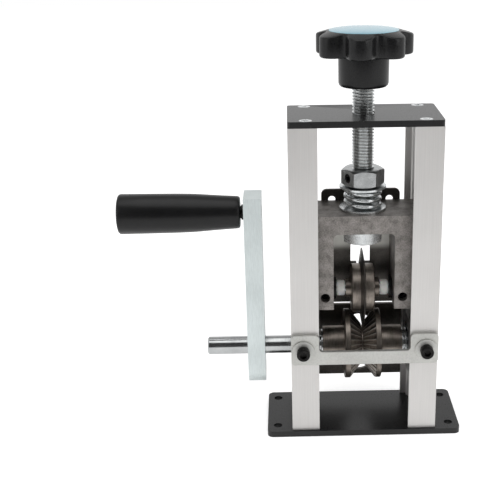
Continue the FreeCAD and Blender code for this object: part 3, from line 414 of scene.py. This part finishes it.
# Tie bracket: 3 mm steel sheet, laser cut to a U and zinc plated, which turned a flat pale grey.
# Two washers and two black oxide cap screws hold it, the posts and the bearing blocks together.
TIE_X, TIE_Z, TIE_FACE_Y = 39.7, 62.6, -30.2


def hexagonal(along, half_flats):
    """The outline of a hexagon socket."""
    return lambda angle: (along, half_flats / math.cos(angle % (math.pi / 3) - math.pi / 6))


dull_zinc = finish("dull_zinc_plated_sheet", "#BFBFBB", "#D3D3CF", cloud_mm=20, marks_mm=1.2,
                   rough=(0.42, 0.55), relief_mm=0.004, Metallic=0.9)
softened("front_tie_bracket", dull_zinc, radius_mm=0.35, segments=3)
softened("front_tie_washers", dull_zinc, radius_mm=0.25)
CAP_SCREW = [(-16.6, 0), (-16.6, 2.1), (-16.2, 2.5), (0, 2.5), (0, 4.15), (0.15, 4.25),
             (4.5, 4.25), (4.85, 4.1), (5, 3.7), (5, 2.6), hexagonal(4.8, 2.05),
             hexagonal(2.5, 2.0), (2.1, 0)]
fastened("front_tie_screws", turned(CAP_SCREW, closed=False),
         [(x, TIE_FACE_Y, TIE_Z) for x in (-TIE_X, TIE_X)], black_oxide,
         facing=(math.pi / 2, 0.0, 0.0), seed=2)


# Rear tie plate: 2.5 mm steel sheet with an upright slot for the stripped wire, blackened in a hot
# bath, which leaves it a thinner and greyer black than powder, with four button screws.
REAR_FACE_Y, REAR_LOW_Z = 28.5, 26.0
black_sheet = finish("blackened_steel_sheet", "#55524E", "#6B6763", cloud_mm=9, marks_mm=0.6,
                     rough=(0.36, 0.48), relief_mm=0.005, Metallic=0.85)
softened("rear_tie_plate", black_sheet, radius_mm=0.4)
BUTTON_SCREW = [(-8, 0), (-8, 2.1), (-7.6, 2.5), (0, 2.5), (0, 4.55), (0.2, 4.7), (0.5, 4.66),
                (1.3, 4.25), (2.1, 3.5), (2.6, 2.6), (2.7, 2.1), hexagonal(2.6, 1.55),
                hexagonal(1.2, 1.5), (0.9, 0)]
fastened("rear_tie_screws", turned(BUTTON_SCREW, closed=False),
         [(x, REAR_FACE_Y, z) for x in (-TIE_X, TIE_X) for z in (REAR_LOW_Z, TIE_Z)],
         black_oxide, facing=(-math.pi / 2, 0.0, 0.0), seed=5)


# Slider: a cast iron bridge, milled on its faces.  The casting is grey brown and mottled, with
# pits and the faint tracks of the cutter.  The spring's lower washer lies on its top.
cast_iron = finish("milled_cast_iron", "#6F6B68", "#A5A09C", cloud_mm=6, marks_mm=0.8,
                   rough=(0.42, 0.62), relief_mm=0.05, Metallic=0.8)
softened("slider_block", cast_iron, radius_mm=0.5)
softened("lower_spring_washer", bright_zinc, radius_mm=0.2)


# Blade axle: a ground pin across the slider's legs, held by a grub screw sunk in each.  On it are
# two black washers and two spacers with rounded ends, moulded in nylon, a soft white that light
# enters a little.
AXLE_Z = 95.2
softened("blade_axle", ground, radius_mm=0.3)
nylon = finish("moulded_white_nylon", "#ECECE8", "#F6F6F3", cloud_mm=6, marks_mm=0.6,
               rough=(0.32, 0.42), relief_mm=0.004, Subsurface_Weight=0.1,
               Subsurface_Scale=0.001)
SPACER = [(11.4, 4.03), (11.4, 4.2), (11.55, 4.65), (11.9, 4.95), (12.4, 5.1), (16.0, 5.1),
          (16.5, 4.95), (16.85, 4.65), (17.0, 4.2), (17.0, 4.03)]
pair = bmesh.new()
for sign in (-1, 1):
    pair.from_mesh(turned([(sign * along, radius) for along, radius in SPACER],
                          (0, 0, AXLE_Z), "x", steps=64))
both_spacers = bpy.data.meshes.new("spacers")
pair.to_mesh(both_spacers)
pair.free()
piece("axle_spacer_pair", both_spacers, nylon, "axle_spacers")
softened("axle_washers", black_oxide, radius_mm=0.2)
softened("axle_grub_screws", black_oxide, radius_mm=0.1)


# Blade: a slitting disc of hardened tool steel, bevelled on both faces, between two turned collars
# on a steel bush, with three pins through them.  Hardening left the disc dark and satin.
blade_steel = finish("hardened_blade_steel", "#45423F", "#5E5B57", cloud_mm=12, marks_mm=0.4,
                     stretch=(0.4, 6, 6), rough=(0.34, 0.46), Metallic=1.0)
softened("blade_disc", blade_steel, radius_mm=0.05)
for side in ("left", "right"):
    softened(side + "_collar", hardened, radius_mm=0.2)
softened("blade_bush", hardened, radius_mm=0.3)
softened("collar_screws", black_oxide, radius_mm=0.2)


# Guide plate: 2 mm blackened steel on the slider's back, with a window to watch the cut and a slot
# that the blade turns in.  On its front a painted highlight lightens a band beside the window's
# top.
blackened_sheet_with_painted_highlight, painted_highlight_tree, painted_highlight_colour, sheet_black_tone = varied(black_sheet, "worn_blackened_steel_sheet")
# Three sides of the painted highlight band: an axis, and where along it the band starts and is
# full.
PAINTED_HIGHLIGHT_BAND = (("Z", 114.5, 120.5), ("Z", 146.0, 142.0), ("Y", 19.5, 18.8))
position = add(painted_highlight_tree, "ShaderNodeSeparateXYZ",
               {0: add(painted_highlight_tree, "ShaderNodeTexCoord").outputs["Object"]}).outputs
highlight_share = 1.0
for axis, start, full in PAINTED_HIGHLIGHT_BAND:
    fade = add(painted_highlight_tree, "ShaderNodeMapRange",
               {"Value": position[axis], "From Min": start * MM, "From Max": full * MM},
               interpolation_type="SMOOTHSTEP")
    highlight_share = add(painted_highlight_tree, "ShaderNodeMath", {0: highlight_share, 1: fade.outputs["Result"]},
               operation="MULTIPLY").outputs[0]
# Painted highlight: inside the band the plate's black is lightened towards a pale grey.
highlighted_tone = add(painted_highlight_tree, "ShaderNodeMix", {0: highlight_share, 6: sheet_black_tone,
                                         7: linear("#C9C8C2")}, data_type="RGBA")
painted_highlight_tree.links.new(highlighted_tone.outputs[2], painted_highlight_colour)
softened("guide_plate", blackened_sheet_with_painted_highlight, radius_mm=0.25)
softened("guide_plate_screws", black_oxide, radius_mm=0.25)


# Head plate: 4 mm steel, powder coated black like the foot.  The pressure screw runs in its
# tapped middle hole.
softened("top_plate", black_powder_coat, radius_mm=0.3)


# Pressure screw: an M14 hexagon bolt threaded over its whole length, rolled and bright zinc
# plated.  Its head sits under the slider's bar, and the star knob is fixed on its top.
THREAD_PITCH, THREAD_ROOT, THREAD_DEPTH = 2.0, 5.75, 1.25
THREAD_LOW, THREAD_HIGH, THREAD_END = 138.2, 243.0, 1.2
# The ridge's widths, in pitches.  It is drawn twice as deep, its lower half inside the core.
RIDGE_FOOT, RIDGE_CREST = 1.54, 0.14
CORE_OVER_ROOT, CORE_IN_HEAD = 0.1, 0.4
# Above the root: where the painted shade in the thread's root is full, and where it is gone.
ROOT_SHADE_FULL, ROOT_SHADE_GONE = 0.25, 0.8
BOLT_LOW, BOLT_HIGH, BOLT_HALF, BOLT_LAND = 128.3, 137.7, 12.0, 11.52
BOLT_TURN, BOLT_CHAMFER = math.radians(28), math.radians(30)


def thread_tree():
    """Geometry Nodes: a helix swept with the thread's ridge, joined to the screw's core."""
    tree, given = new_tree("rolled_thread", Root="Float", Depth="Float", Pitch="Float",
                           Length="Float", Start="Vector")
    turns = add(tree, "ShaderNodeMath", {0: given["Length"], 1: given["Pitch"]},
                operation="DIVIDE")
    helix = add(tree, "GeometryNodeCurveSpiral",
                {"Resolution": 40, "Rotations": turns.outputs[0], "Start Radius": given["Root"],
                 "End Radius": given["Root"], "Height": given["Length"]})
    upright = add(tree, "GeometryNodeSetCurveNormal", {"Curve": helix.outputs["Curve"]},
                  mode="Z_UP")
    wide = add(tree, "ShaderNodeMath", {0: given["Pitch"], 1: RIDGE_FOOT}, operation="MULTIPLY")
    narrow = add(tree, "ShaderNodeMath", {0: given["Pitch"], 1: RIDGE_CREST},
                 operation="MULTIPLY")
    double = add(tree, "ShaderNodeMath", {0: given["Depth"], 1: 2.0}, operation="MULTIPLY")
    ridge = add(tree, "GeometryNodeCurvePrimitiveQuadrilateral",
                {"Bottom Width": wide.outputs[0], "Top Width": narrow.outputs[0],
                 "Height": double.outputs[0], "Offset": 0.0}, mode="TRAPEZOID")
    aside = add(tree, "GeometryNodeTransform", {"Geometry": ridge.outputs["Curve"],
                                                "Rotation": (0.0, 0.0, math.pi / 2)})
    swept = add(tree, "GeometryNodeCurveToMesh",
                {"Curve": upright.outputs["Curve"], "Profile Curve": aside.outputs["Geometry"],
                 "Fill Caps": True})
    placed = add(tree, "GeometryNodeTransform", {"Geometry": swept.outputs["Mesh"],
                                                 "Translation": given["Start"]})
    both = add(tree, "GeometryNodeJoinGeometry")
    tree.links.new(given["Geometry"], both.inputs["Geometry"])
    tree.links.new(placed.outputs["Geometry"], both.inputs["Geometry"])
    real = add(tree, "GeometryNodeRealizeInstances", {"Geometry": both.outputs["Geometry"]})
    painted = add(tree, "GeometryNodeSetMaterial",
                  {"Geometry": real.outputs["Geometry"], "Material": given["Surface"]})
    add(tree, "NodeGroupOutput", {"Geometry": painted.outputs["Geometry"]})
    return tree


def bolt_corner(high):
    """One end of the bolt head's flanks, with the corners turned off."""
    def spot(angle):
        corner = BOLT_HALF / math.cos((angle - BOLT_TURN) % (math.pi / 3) - math.pi / 6)
        drop = max(0.0, corner - BOLT_LAND) * math.tan(BOLT_CHAMFER)
        return (BOLT_HIGH - drop if high else BOLT_LOW + drop), corner
    return spot


# The thread's root is painted darker, a painted shade that thins out above it, so its ridges stand
# out bright.
thread_with_painted_shade, thread_shade_tree, thread_shade_colour, plated_tone = varied(bright_zinc, "oiled_zinc_plated_thread")
across = add(thread_shade_tree, "ShaderNodeVectorMath",
             {0: add(thread_shade_tree, "ShaderNodeTexCoord").outputs["Object"], 1: (1, 1, 0)},
             operation="MULTIPLY")
from_axis = add(thread_shade_tree, "ShaderNodeVectorMath", {0: across.outputs["Vector"]},
                operation="LENGTH")
unshaded_share = add(thread_shade_tree, "ShaderNodeMapRange",
            {"Value": from_axis.outputs["Value"], "From Min": (THREAD_ROOT + ROOT_SHADE_FULL) * MM,
             "From Max": (THREAD_ROOT + ROOT_SHADE_GONE) * MM})
# Painted shade: the root's tone is darker than the plating above it.
root_shaded_tone = add(thread_shade_tree, "ShaderNodeMix", {0: unshaded_share.outputs["Result"], 6: linear("#B2B3B2"),
                                          7: plated_tone}, data_type="RGBA")
thread_shade_tree.links.new(root_shaded_tone.outputs[2], thread_shade_colour)

core_low, core_radius = BOLT_HIGH - CORE_IN_HEAD, THREAD_ROOT + CORE_OVER_ROOT
core = turned([(core_low, 0), (core_low, core_radius), (THREAD_HIGH, core_radius),
               (THREAD_HIGH, 0)], steps=64, closed=False)
thread_mesh = grown(core, thread_tree(),
                    {"Root": THREAD_ROOT * MM, "Depth": THREAD_DEPTH * MM,
                     "Pitch": THREAD_PITCH * MM,
                     "Length": (THREAD_HIGH - THREAD_LOW - 2 * THREAD_END) * MM,
                     "Start": (0.0, 0.0, (THREAD_LOW + THREAD_END) * MM), "Surface": thread_with_painted_shade})
piece("pressure_screw_thread", thread_mesh, thread_with_painted_shade, "pressure_screw")
piece("pressure_screw_head",
      turned([(BOLT_LOW, 0), (BOLT_LOW, BOLT_LAND), bolt_corner(False), bolt_corner(True),
              (BOLT_HIGH, BOLT_LAND), (BOLT_HIGH, 0)], steps=90, closed=False),
      bright_zinc, "pressure_screw")


# Pressure spring: a short stiff coil of bright zinc plated wire between two plain washers.  It
# shortens as the slider floats up under the screw.
SPRING_RADIUS, WIRE_RADIUS, SPRING_TURNS = 11.0, 1.3, 2.5
SPRING_LOW, SPRING_HIGH, FLOAT_MM = 152.8, 162.7, 3.2


def coil_tree():
    """Geometry Nodes: round wire swept along a helix."""
    tree, given = new_tree("coil", Radius="Float", Wire="Float", Turns="Float", Height="Float",
                           Start="Vector")
    helix = add(tree, "GeometryNodeCurveSpiral",
                {"Resolution": 48, "Rotations": given["Turns"], "Start Radius": given["Radius"],
                 "End Radius": given["Radius"], "Height": given["Height"]})
    wire = add(tree, "GeometryNodeCurvePrimitiveCircle", {"Resolution": 20,
                                                          "Radius": given["Wire"]})
    swept = add(tree, "GeometryNodeCurveToMesh",
                {"Curve": helix.outputs["Curve"], "Profile Curve": wire.outputs["Curve"],
                 "Fill Caps": True})
    placed = add(tree, "GeometryNodeTransform", {"Geometry": swept.outputs["Mesh"],
                                                 "Translation": given["Start"]})
    real = add(tree, "GeometryNodeRealizeInstances", {"Geometry": placed.outputs["Geometry"]})
    painted = add(tree, "GeometryNodeSetMaterial",
                  {"Geometry": real.outputs["Geometry"], "Material": given["Surface"]})
    add(tree, "NodeGroupOutput", {"Geometry": painted.outputs["Geometry"]})
    return tree


coil = grown(bpy.data.meshes.new("empty"), coil_tree(),
             {"Radius": SPRING_RADIUS * MM, "Wire": WIRE_RADIUS * MM, "Turns": SPRING_TURNS,
              "Height": (SPRING_HIGH - SPRING_LOW) * MM, "Start": (0.0, 0.0, SPRING_LOW * MM),
              "Surface": bright_zinc})
spring = piece("pressure_spring_coil", coil, bright_zinc, "pressure_spring")
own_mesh(spring)
softened("upper_spring_washer", bright_zinc, radius_mm=0.2)


# Lock nut: a tall M14 steel nut, zinc plated and passivated to a smoky grey, that carries the
# upper washer, with a black grub screw in one flat.
dark_zinc = finish("dark_zinc_plated_nut", "#A2A4A5", "#C4C6C6", cloud_mm=4, marks_mm=0.4,
                   rough=(0.24, 0.38), relief_mm=0.004, Metallic=1.0)
softened("lock_nut", dark_zinc, radius_mm=0.25)
softened("lock_nut_grub_screw", black_oxide, radius_mm=0.1)


# Star knob: seven lobes on a hub, compression moulded in black phenolic, which comes glossy from
# the mould, round a threaded insert.  A pale blue cap of polished plastic closes its top.
LOBES, LOBE_TURN = 7, math.radians(-98.7)
LOBE_REACH, LOBE_RADIUS = 22.5, 8.0
VALLEY_REACH, VALLEY_RADIUS = 27.12, 3.92
STAR_LOW, STAR_TOP, SHOULDER_SLOPE = 247.8, 262.6, 0.296
TOP_ROUND, FOOT_ROUND = 1.1, 1.6
CAP_FLOOR, CAP_SEAT = 261.1, 21.63
INSERT_TOP, INSERT_RADIUS = 244.5, 9.55


def star(inset, height):
    """One ring of the star, drawn in from its outline; height gives z at a radius."""
    lobe, valley = LOBE_RADIUS - inset, VALLEY_RADIUS + inset
    pitch = math.tau / LOBES
    way = Vector((VALLEY_REACH * math.cos(pitch / 2) - LOBE_REACH,
                  VALLEY_REACH * math.sin(pitch / 2))).normalized()
    touch = math.atan2(lobe * way.y, LOBE_REACH + lobe * way.x)

    def spot(angle):
        off = abs((angle - LOBE_TURN + pitch / 2) % pitch - pitch / 2)
        back = pitch / 2 - off
        if off < touch:
            radius = LOBE_REACH * math.cos(off) + math.sqrt(
                lobe ** 2 - (LOBE_REACH * math.sin(off)) ** 2)
        else:
            radius = VALLEY_REACH * math.cos(back) - math.sqrt(
                valley ** 2 - (VALLEY_REACH * math.sin(back)) ** 2)
        return height(radius), radius
    return spot


def quarter(radius, inset):
    """How far a rounded edge has dropped where it is drawn in by inset."""
    return radius - math.sqrt(radius ** 2 - (radius - inset) ** 2)


def star_shoulder(inset):
    """A ring of the star's sloping top, and of the round edge below it."""
    return star(inset, lambda radius: STAR_TOP - (radius - CAP_SEAT) * SHOULDER_SLOPE
                - quarter(TOP_ROUND, inset))


def star_foot(inset):
    """A ring of the round edge under the star."""
    return star(inset, lambda radius: STAR_LOW + quarter(FOOT_ROUND, inset))


phenolic = finish("moulded_black_phenolic", "#101011", "#1B1B1C", cloud_mm=20, marks_mm=0.9,
                  rough=(0.26, 0.36), relief_mm=0.008, Specular_IOR_Level=0.3)
HUB = [(STAR_LOW, 17.2), (247.4, 16.2), (246.5, 15.6), (231, 15.5), (229.6, 15.1),
       (228.8, 14.3), (228.5, 13), (228.5, INSERT_RADIUS), (INSERT_TOP, INSERT_RADIUS),
       (INSERT_TOP, 0)]
KNOB = ([(CAP_FLOOR, 0), (CAP_FLOOR, CAP_SEAT), (262.45, CAP_SEAT), (262.55, CAP_SEAT + 0.12)]
        + [star_shoulder(inset) for inset in (TOP_ROUND, 0.75, 0.42, 0.15, 0)]
        + [star_foot(inset) for inset in (0, 0.2, 0.6, 1.1, FOOT_ROUND)] + HUB)
piece("star_knob_moulding", turned(KNOB, steps=336, closed=False), phenolic, "star_knob")
softened("knob_insert", bright_zinc, radius_mm=0.25)
cap_plastic = finish("polished_blue_cap_plastic", "#72A4B5", "#80B0C0", cloud_mm=30,
                     marks_mm=2.0, rough=(0.12, 0.2))
CAP = [(CAP_FLOOR, 0), (CAP_FLOOR, 21.3), (262.3, 21.54), (262.65, 21.4), (263.0, 19.5),
       (263.3, 16.5), (263.6, 11.5), (263.75, 6), (263.8, 0)]
piece("knob_cap_moulding", turned(CAP, steps=128, closed=False), cap_plastic, "knob_cap")


# Crank arm: a flat bar of steel with a round heel, its corners broken by tumbling and then zinc
# plated to a faint blue.  A grub screw holds it on the shaft.
GRIP_Z = 148.5
ARM_HOLES = ((SHAFT_Z, 6.5), (GRIP_Z, 4.5))
GRUB_X, GRUB_ACROSS, GRUB_ALONG = -70.55, 3.5, 4.0
HOLE_SHARE = 0.15
arm_zinc = finish("blue_zinc_plated_bar", "#C8D0D0", "#D8E0E0", cloud_mm=18, marks_mm=0.6,
                  stretch=(1, 1, 8), rough=(0.3, 0.42), relief_mm=0.005, Metallic=0.9)


def outer_edge(middle):
    """The whole radius on the bar's corners, and little at the holes in it."""
    round_hole = any(math.hypot(middle.y, middle.z - z) < reach for z, reach in ARM_HOLES)
    grub_hole = (abs(middle.x - GRUB_X) < GRUB_ACROSS
                 and abs(middle.z - SHAFT_Z) < GRUB_ALONG)
    return HOLE_SHARE if round_hole or grub_hole else 1.0


softened("crank_arm", arm_zinc, radius_mm=1.2, segments=3, share=outer_edge)
softened("crank_arm_grub_screw", black_oxide, radius_mm=0.1)


# Handle: a hand grip moulded in black plastic, satin from its mould, that spins on a black oxide
# shoulder screw.  The screw is screwed into the arm.
softened("handle_spindle", black_oxide, radius_mm=0.3)
GRIP_LEFT = -156.4
grip_plastic = finish("moulded_black_plastic", "#0B0B0C", "#141415", cloud_mm=15, marks_mm=0.8,
                      rough=(0.3, 0.4), relief_mm=0.01, Specular_IOR_Level=0.32)
GRIP = [(0, 6.8), (0, 11.2), (0.25, 12.0), (0.8, 12.6), (1.7, 12.9), (20, 12.75), (36, 12.6),
        (46.6, 12.35), (52, 12.05), (60, 11.45), (68, 10.9), (74.5, 10.55), (76.4, 10.4),
        (77.3, 10.0), (77.7, 9.3), (77.7, 4.08), (9, 4.08), (9, 6.8)]
piece("hand_grip_moulding", turned([(GRIP_LEFT + along, radius) for along, radius in GRIP],
                                   (0, 0, GRIP_Z), "x"), grip_plastic, "hand_grip")


# Studio: a pale table that ends in front of the object, a white surround, which metal sees darker
# towards the unlit front of the room and overhead, and three broad soft lamps.
FLOOR_SIZE, FLOOR_MIDDLE = (6, 3.9), (0, 1.05, -0.0002)
FLOOR_SEEN, FLOOR_MIRRORED = 0.5, 0.25
SURROUND_LEVEL, FRONT_LEVEL, OVERHEAD_LEVEL = 0.62, 0.07, 0.45


def card(name, size, location, turn, material):
    """A flat sheet that is part of the studio."""
    bpy.ops.mesh.primitive_plane_add(size=1, location=location, rotation=turn)
    sheet = bpy.context.object
    sheet.name = name
    sheet.scale = (size[0], size[1], 1)
    sheet.data.materials.append(material)


floor_paint = bpy.data.materials.new("pale_floor_paint")
floor_paint.use_nodes = True
floor_tree = floor_paint.node_tree
floor_shader = floor_tree.nodes["Principled BSDF"]
floor_shader.inputs["Base Color"].default_value = linear("#F4F4F4")
floor_shader.inputs["Roughness"].default_value = 0.9
floor_shader.inputs["Specular IOR Level"].default_value = 0.1
floor_shader.inputs["Emission Color"].default_value = (1, 1, 1, 1)
watched = add(floor_tree, "ShaderNodeLightPath").outputs
faint = add(floor_tree, "ShaderNodeMath", {0: watched["Is Glossy Ray"], 1: FLOOR_MIRRORED},
            operation="MULTIPLY")
glow = add(floor_tree, "ShaderNodeMath", {0: watched["Is Camera Ray"], 1: FLOOR_SEEN,
                                          2: faint.outputs[0]}, operation="MULTIPLY_ADD")
floor_tree.links.new(glow.outputs[0], floor_shader.inputs["Emission Strength"])
card("studio_floor", FLOOR_SIZE, FLOOR_MIDDLE, (0, 0, 0), floor_paint)

world = bpy.data.worlds.new("studio_white")
bpy.context.scene.world = world
world.use_nodes = True
air = world.node_tree
background = air.nodes["Background"]
seen = add(air, "ShaderNodeLightPath").outputs
plain = add(air, "ShaderNodeMath", {0: seen["Is Camera Ray"], 1: seen["Is Transmission Ray"]},
            operation="MAXIMUM")
surround = add(air, "ShaderNodeMapRange", {"Value": plain.outputs[0], "To Min": SURROUND_LEVEL,
                                           "To Max": 1.0})
direction = add(air, "ShaderNodeSeparateXYZ",
                {0: add(air, "ShaderNodeTexCoord").outputs["Generated"]})
front = add(air, "ShaderNodeMapRange",
            {"Value": direction.outputs["Y"], "From Min": -0.65, "From Max": -0.05,
             "To Min": FRONT_LEVEL, "To Max": 1.0})
above = add(air, "ShaderNodeMapRange",
            {"Value": direction.outputs["Z"], "From Min": 0.25, "From Max": 0.75,
             "To Min": 1.0, "To Max": OVERHEAD_LEVEL})
room = add(air, "ShaderNodeMath", {0: front.outputs["Result"], 1: above.outputs["Result"]},
           operation="MULTIPLY")
level = add(air, "ShaderNodeMix", {0: seen["Is Glossy Ray"], 2: surround.outputs["Result"],
                                   3: room.outputs[0]}, data_type="FLOAT")
background.inputs["Color"].default_value = (1, 1, 1, 1)
air.links.new(level.outputs[0], background.inputs["Strength"])


def lamp(name, size, power, location, aim):
    """A soft box aimed at a point."""
    light = bpy.data.lights.new(name, "AREA")
    light.shape = "RECTANGLE"
    light.size, light.size_y = size
    light.energy = power
    holder = bpy.data.objects.new(name, light)
    bpy.context.collection.objects.link(holder)
    holder.location = location
    holder.rotation_euler = (Vector(aim) - Vector(location)).to_track_quat("-Z", "Y").to_euler()


lamp("overhead_box", size=(1.2, 0.9), power=4.5, location=(-0.15, -0.2, 1.25), aim=(0, 0, 0.1))
lamp("left_box", size=(0.7, 0.9), power=2, location=(-1.1, -0.7, 0.6), aim=(0, 0, 0.1))
lamp("right_box", size=(0.7, 0.9), power=4, location=(1.0, -0.8, 0.7), aim=(0, 0, 0.15))

# Camera: its place in millimetres, its turns in radians and its lens.
CAMERA_AT = (-45.80148, -599.87228, 334.51234)
YAW, PITCH, ROLL = 0.01949, 0.34046, 0.0113
SENSOR_MM, FOCAL_MM, SHIFT_X, SHIFT_Y = 36.0, 70.307, -0.12, -0.0003
ahead = Vector((math.sin(YAW) * math.cos(PITCH), math.cos(YAW) * math.cos(PITCH),
                -math.sin(PITCH)))
level_right = Vector((math.cos(YAW), -math.sin(YAW), 0))
level_down = ahead.cross(level_right)
right = math.cos(ROLL) * level_right + math.sin(ROLL) * level_down
up = math.sin(ROLL) * level_right - math.cos(ROLL) * level_down
lens = bpy.data.cameras.new("camera")
lens.sensor_width, lens.lens = SENSOR_MM, FOCAL_MM
lens.shift_x, lens.shift_y = SHIFT_X, SHIFT_Y
camera = bpy.data.objects.new("camera", lens)
bpy.context.collection.objects.link(camera)
camera.matrix_world = Matrix.Translation(Vector(CAMERA_AT) * MM) @ Matrix(
    (right, up, -ahead)).transposed().to_4x4()
bpy.context.scene.camera = camera
bpy.context.scene.view_settings.view_transform = "Standard"
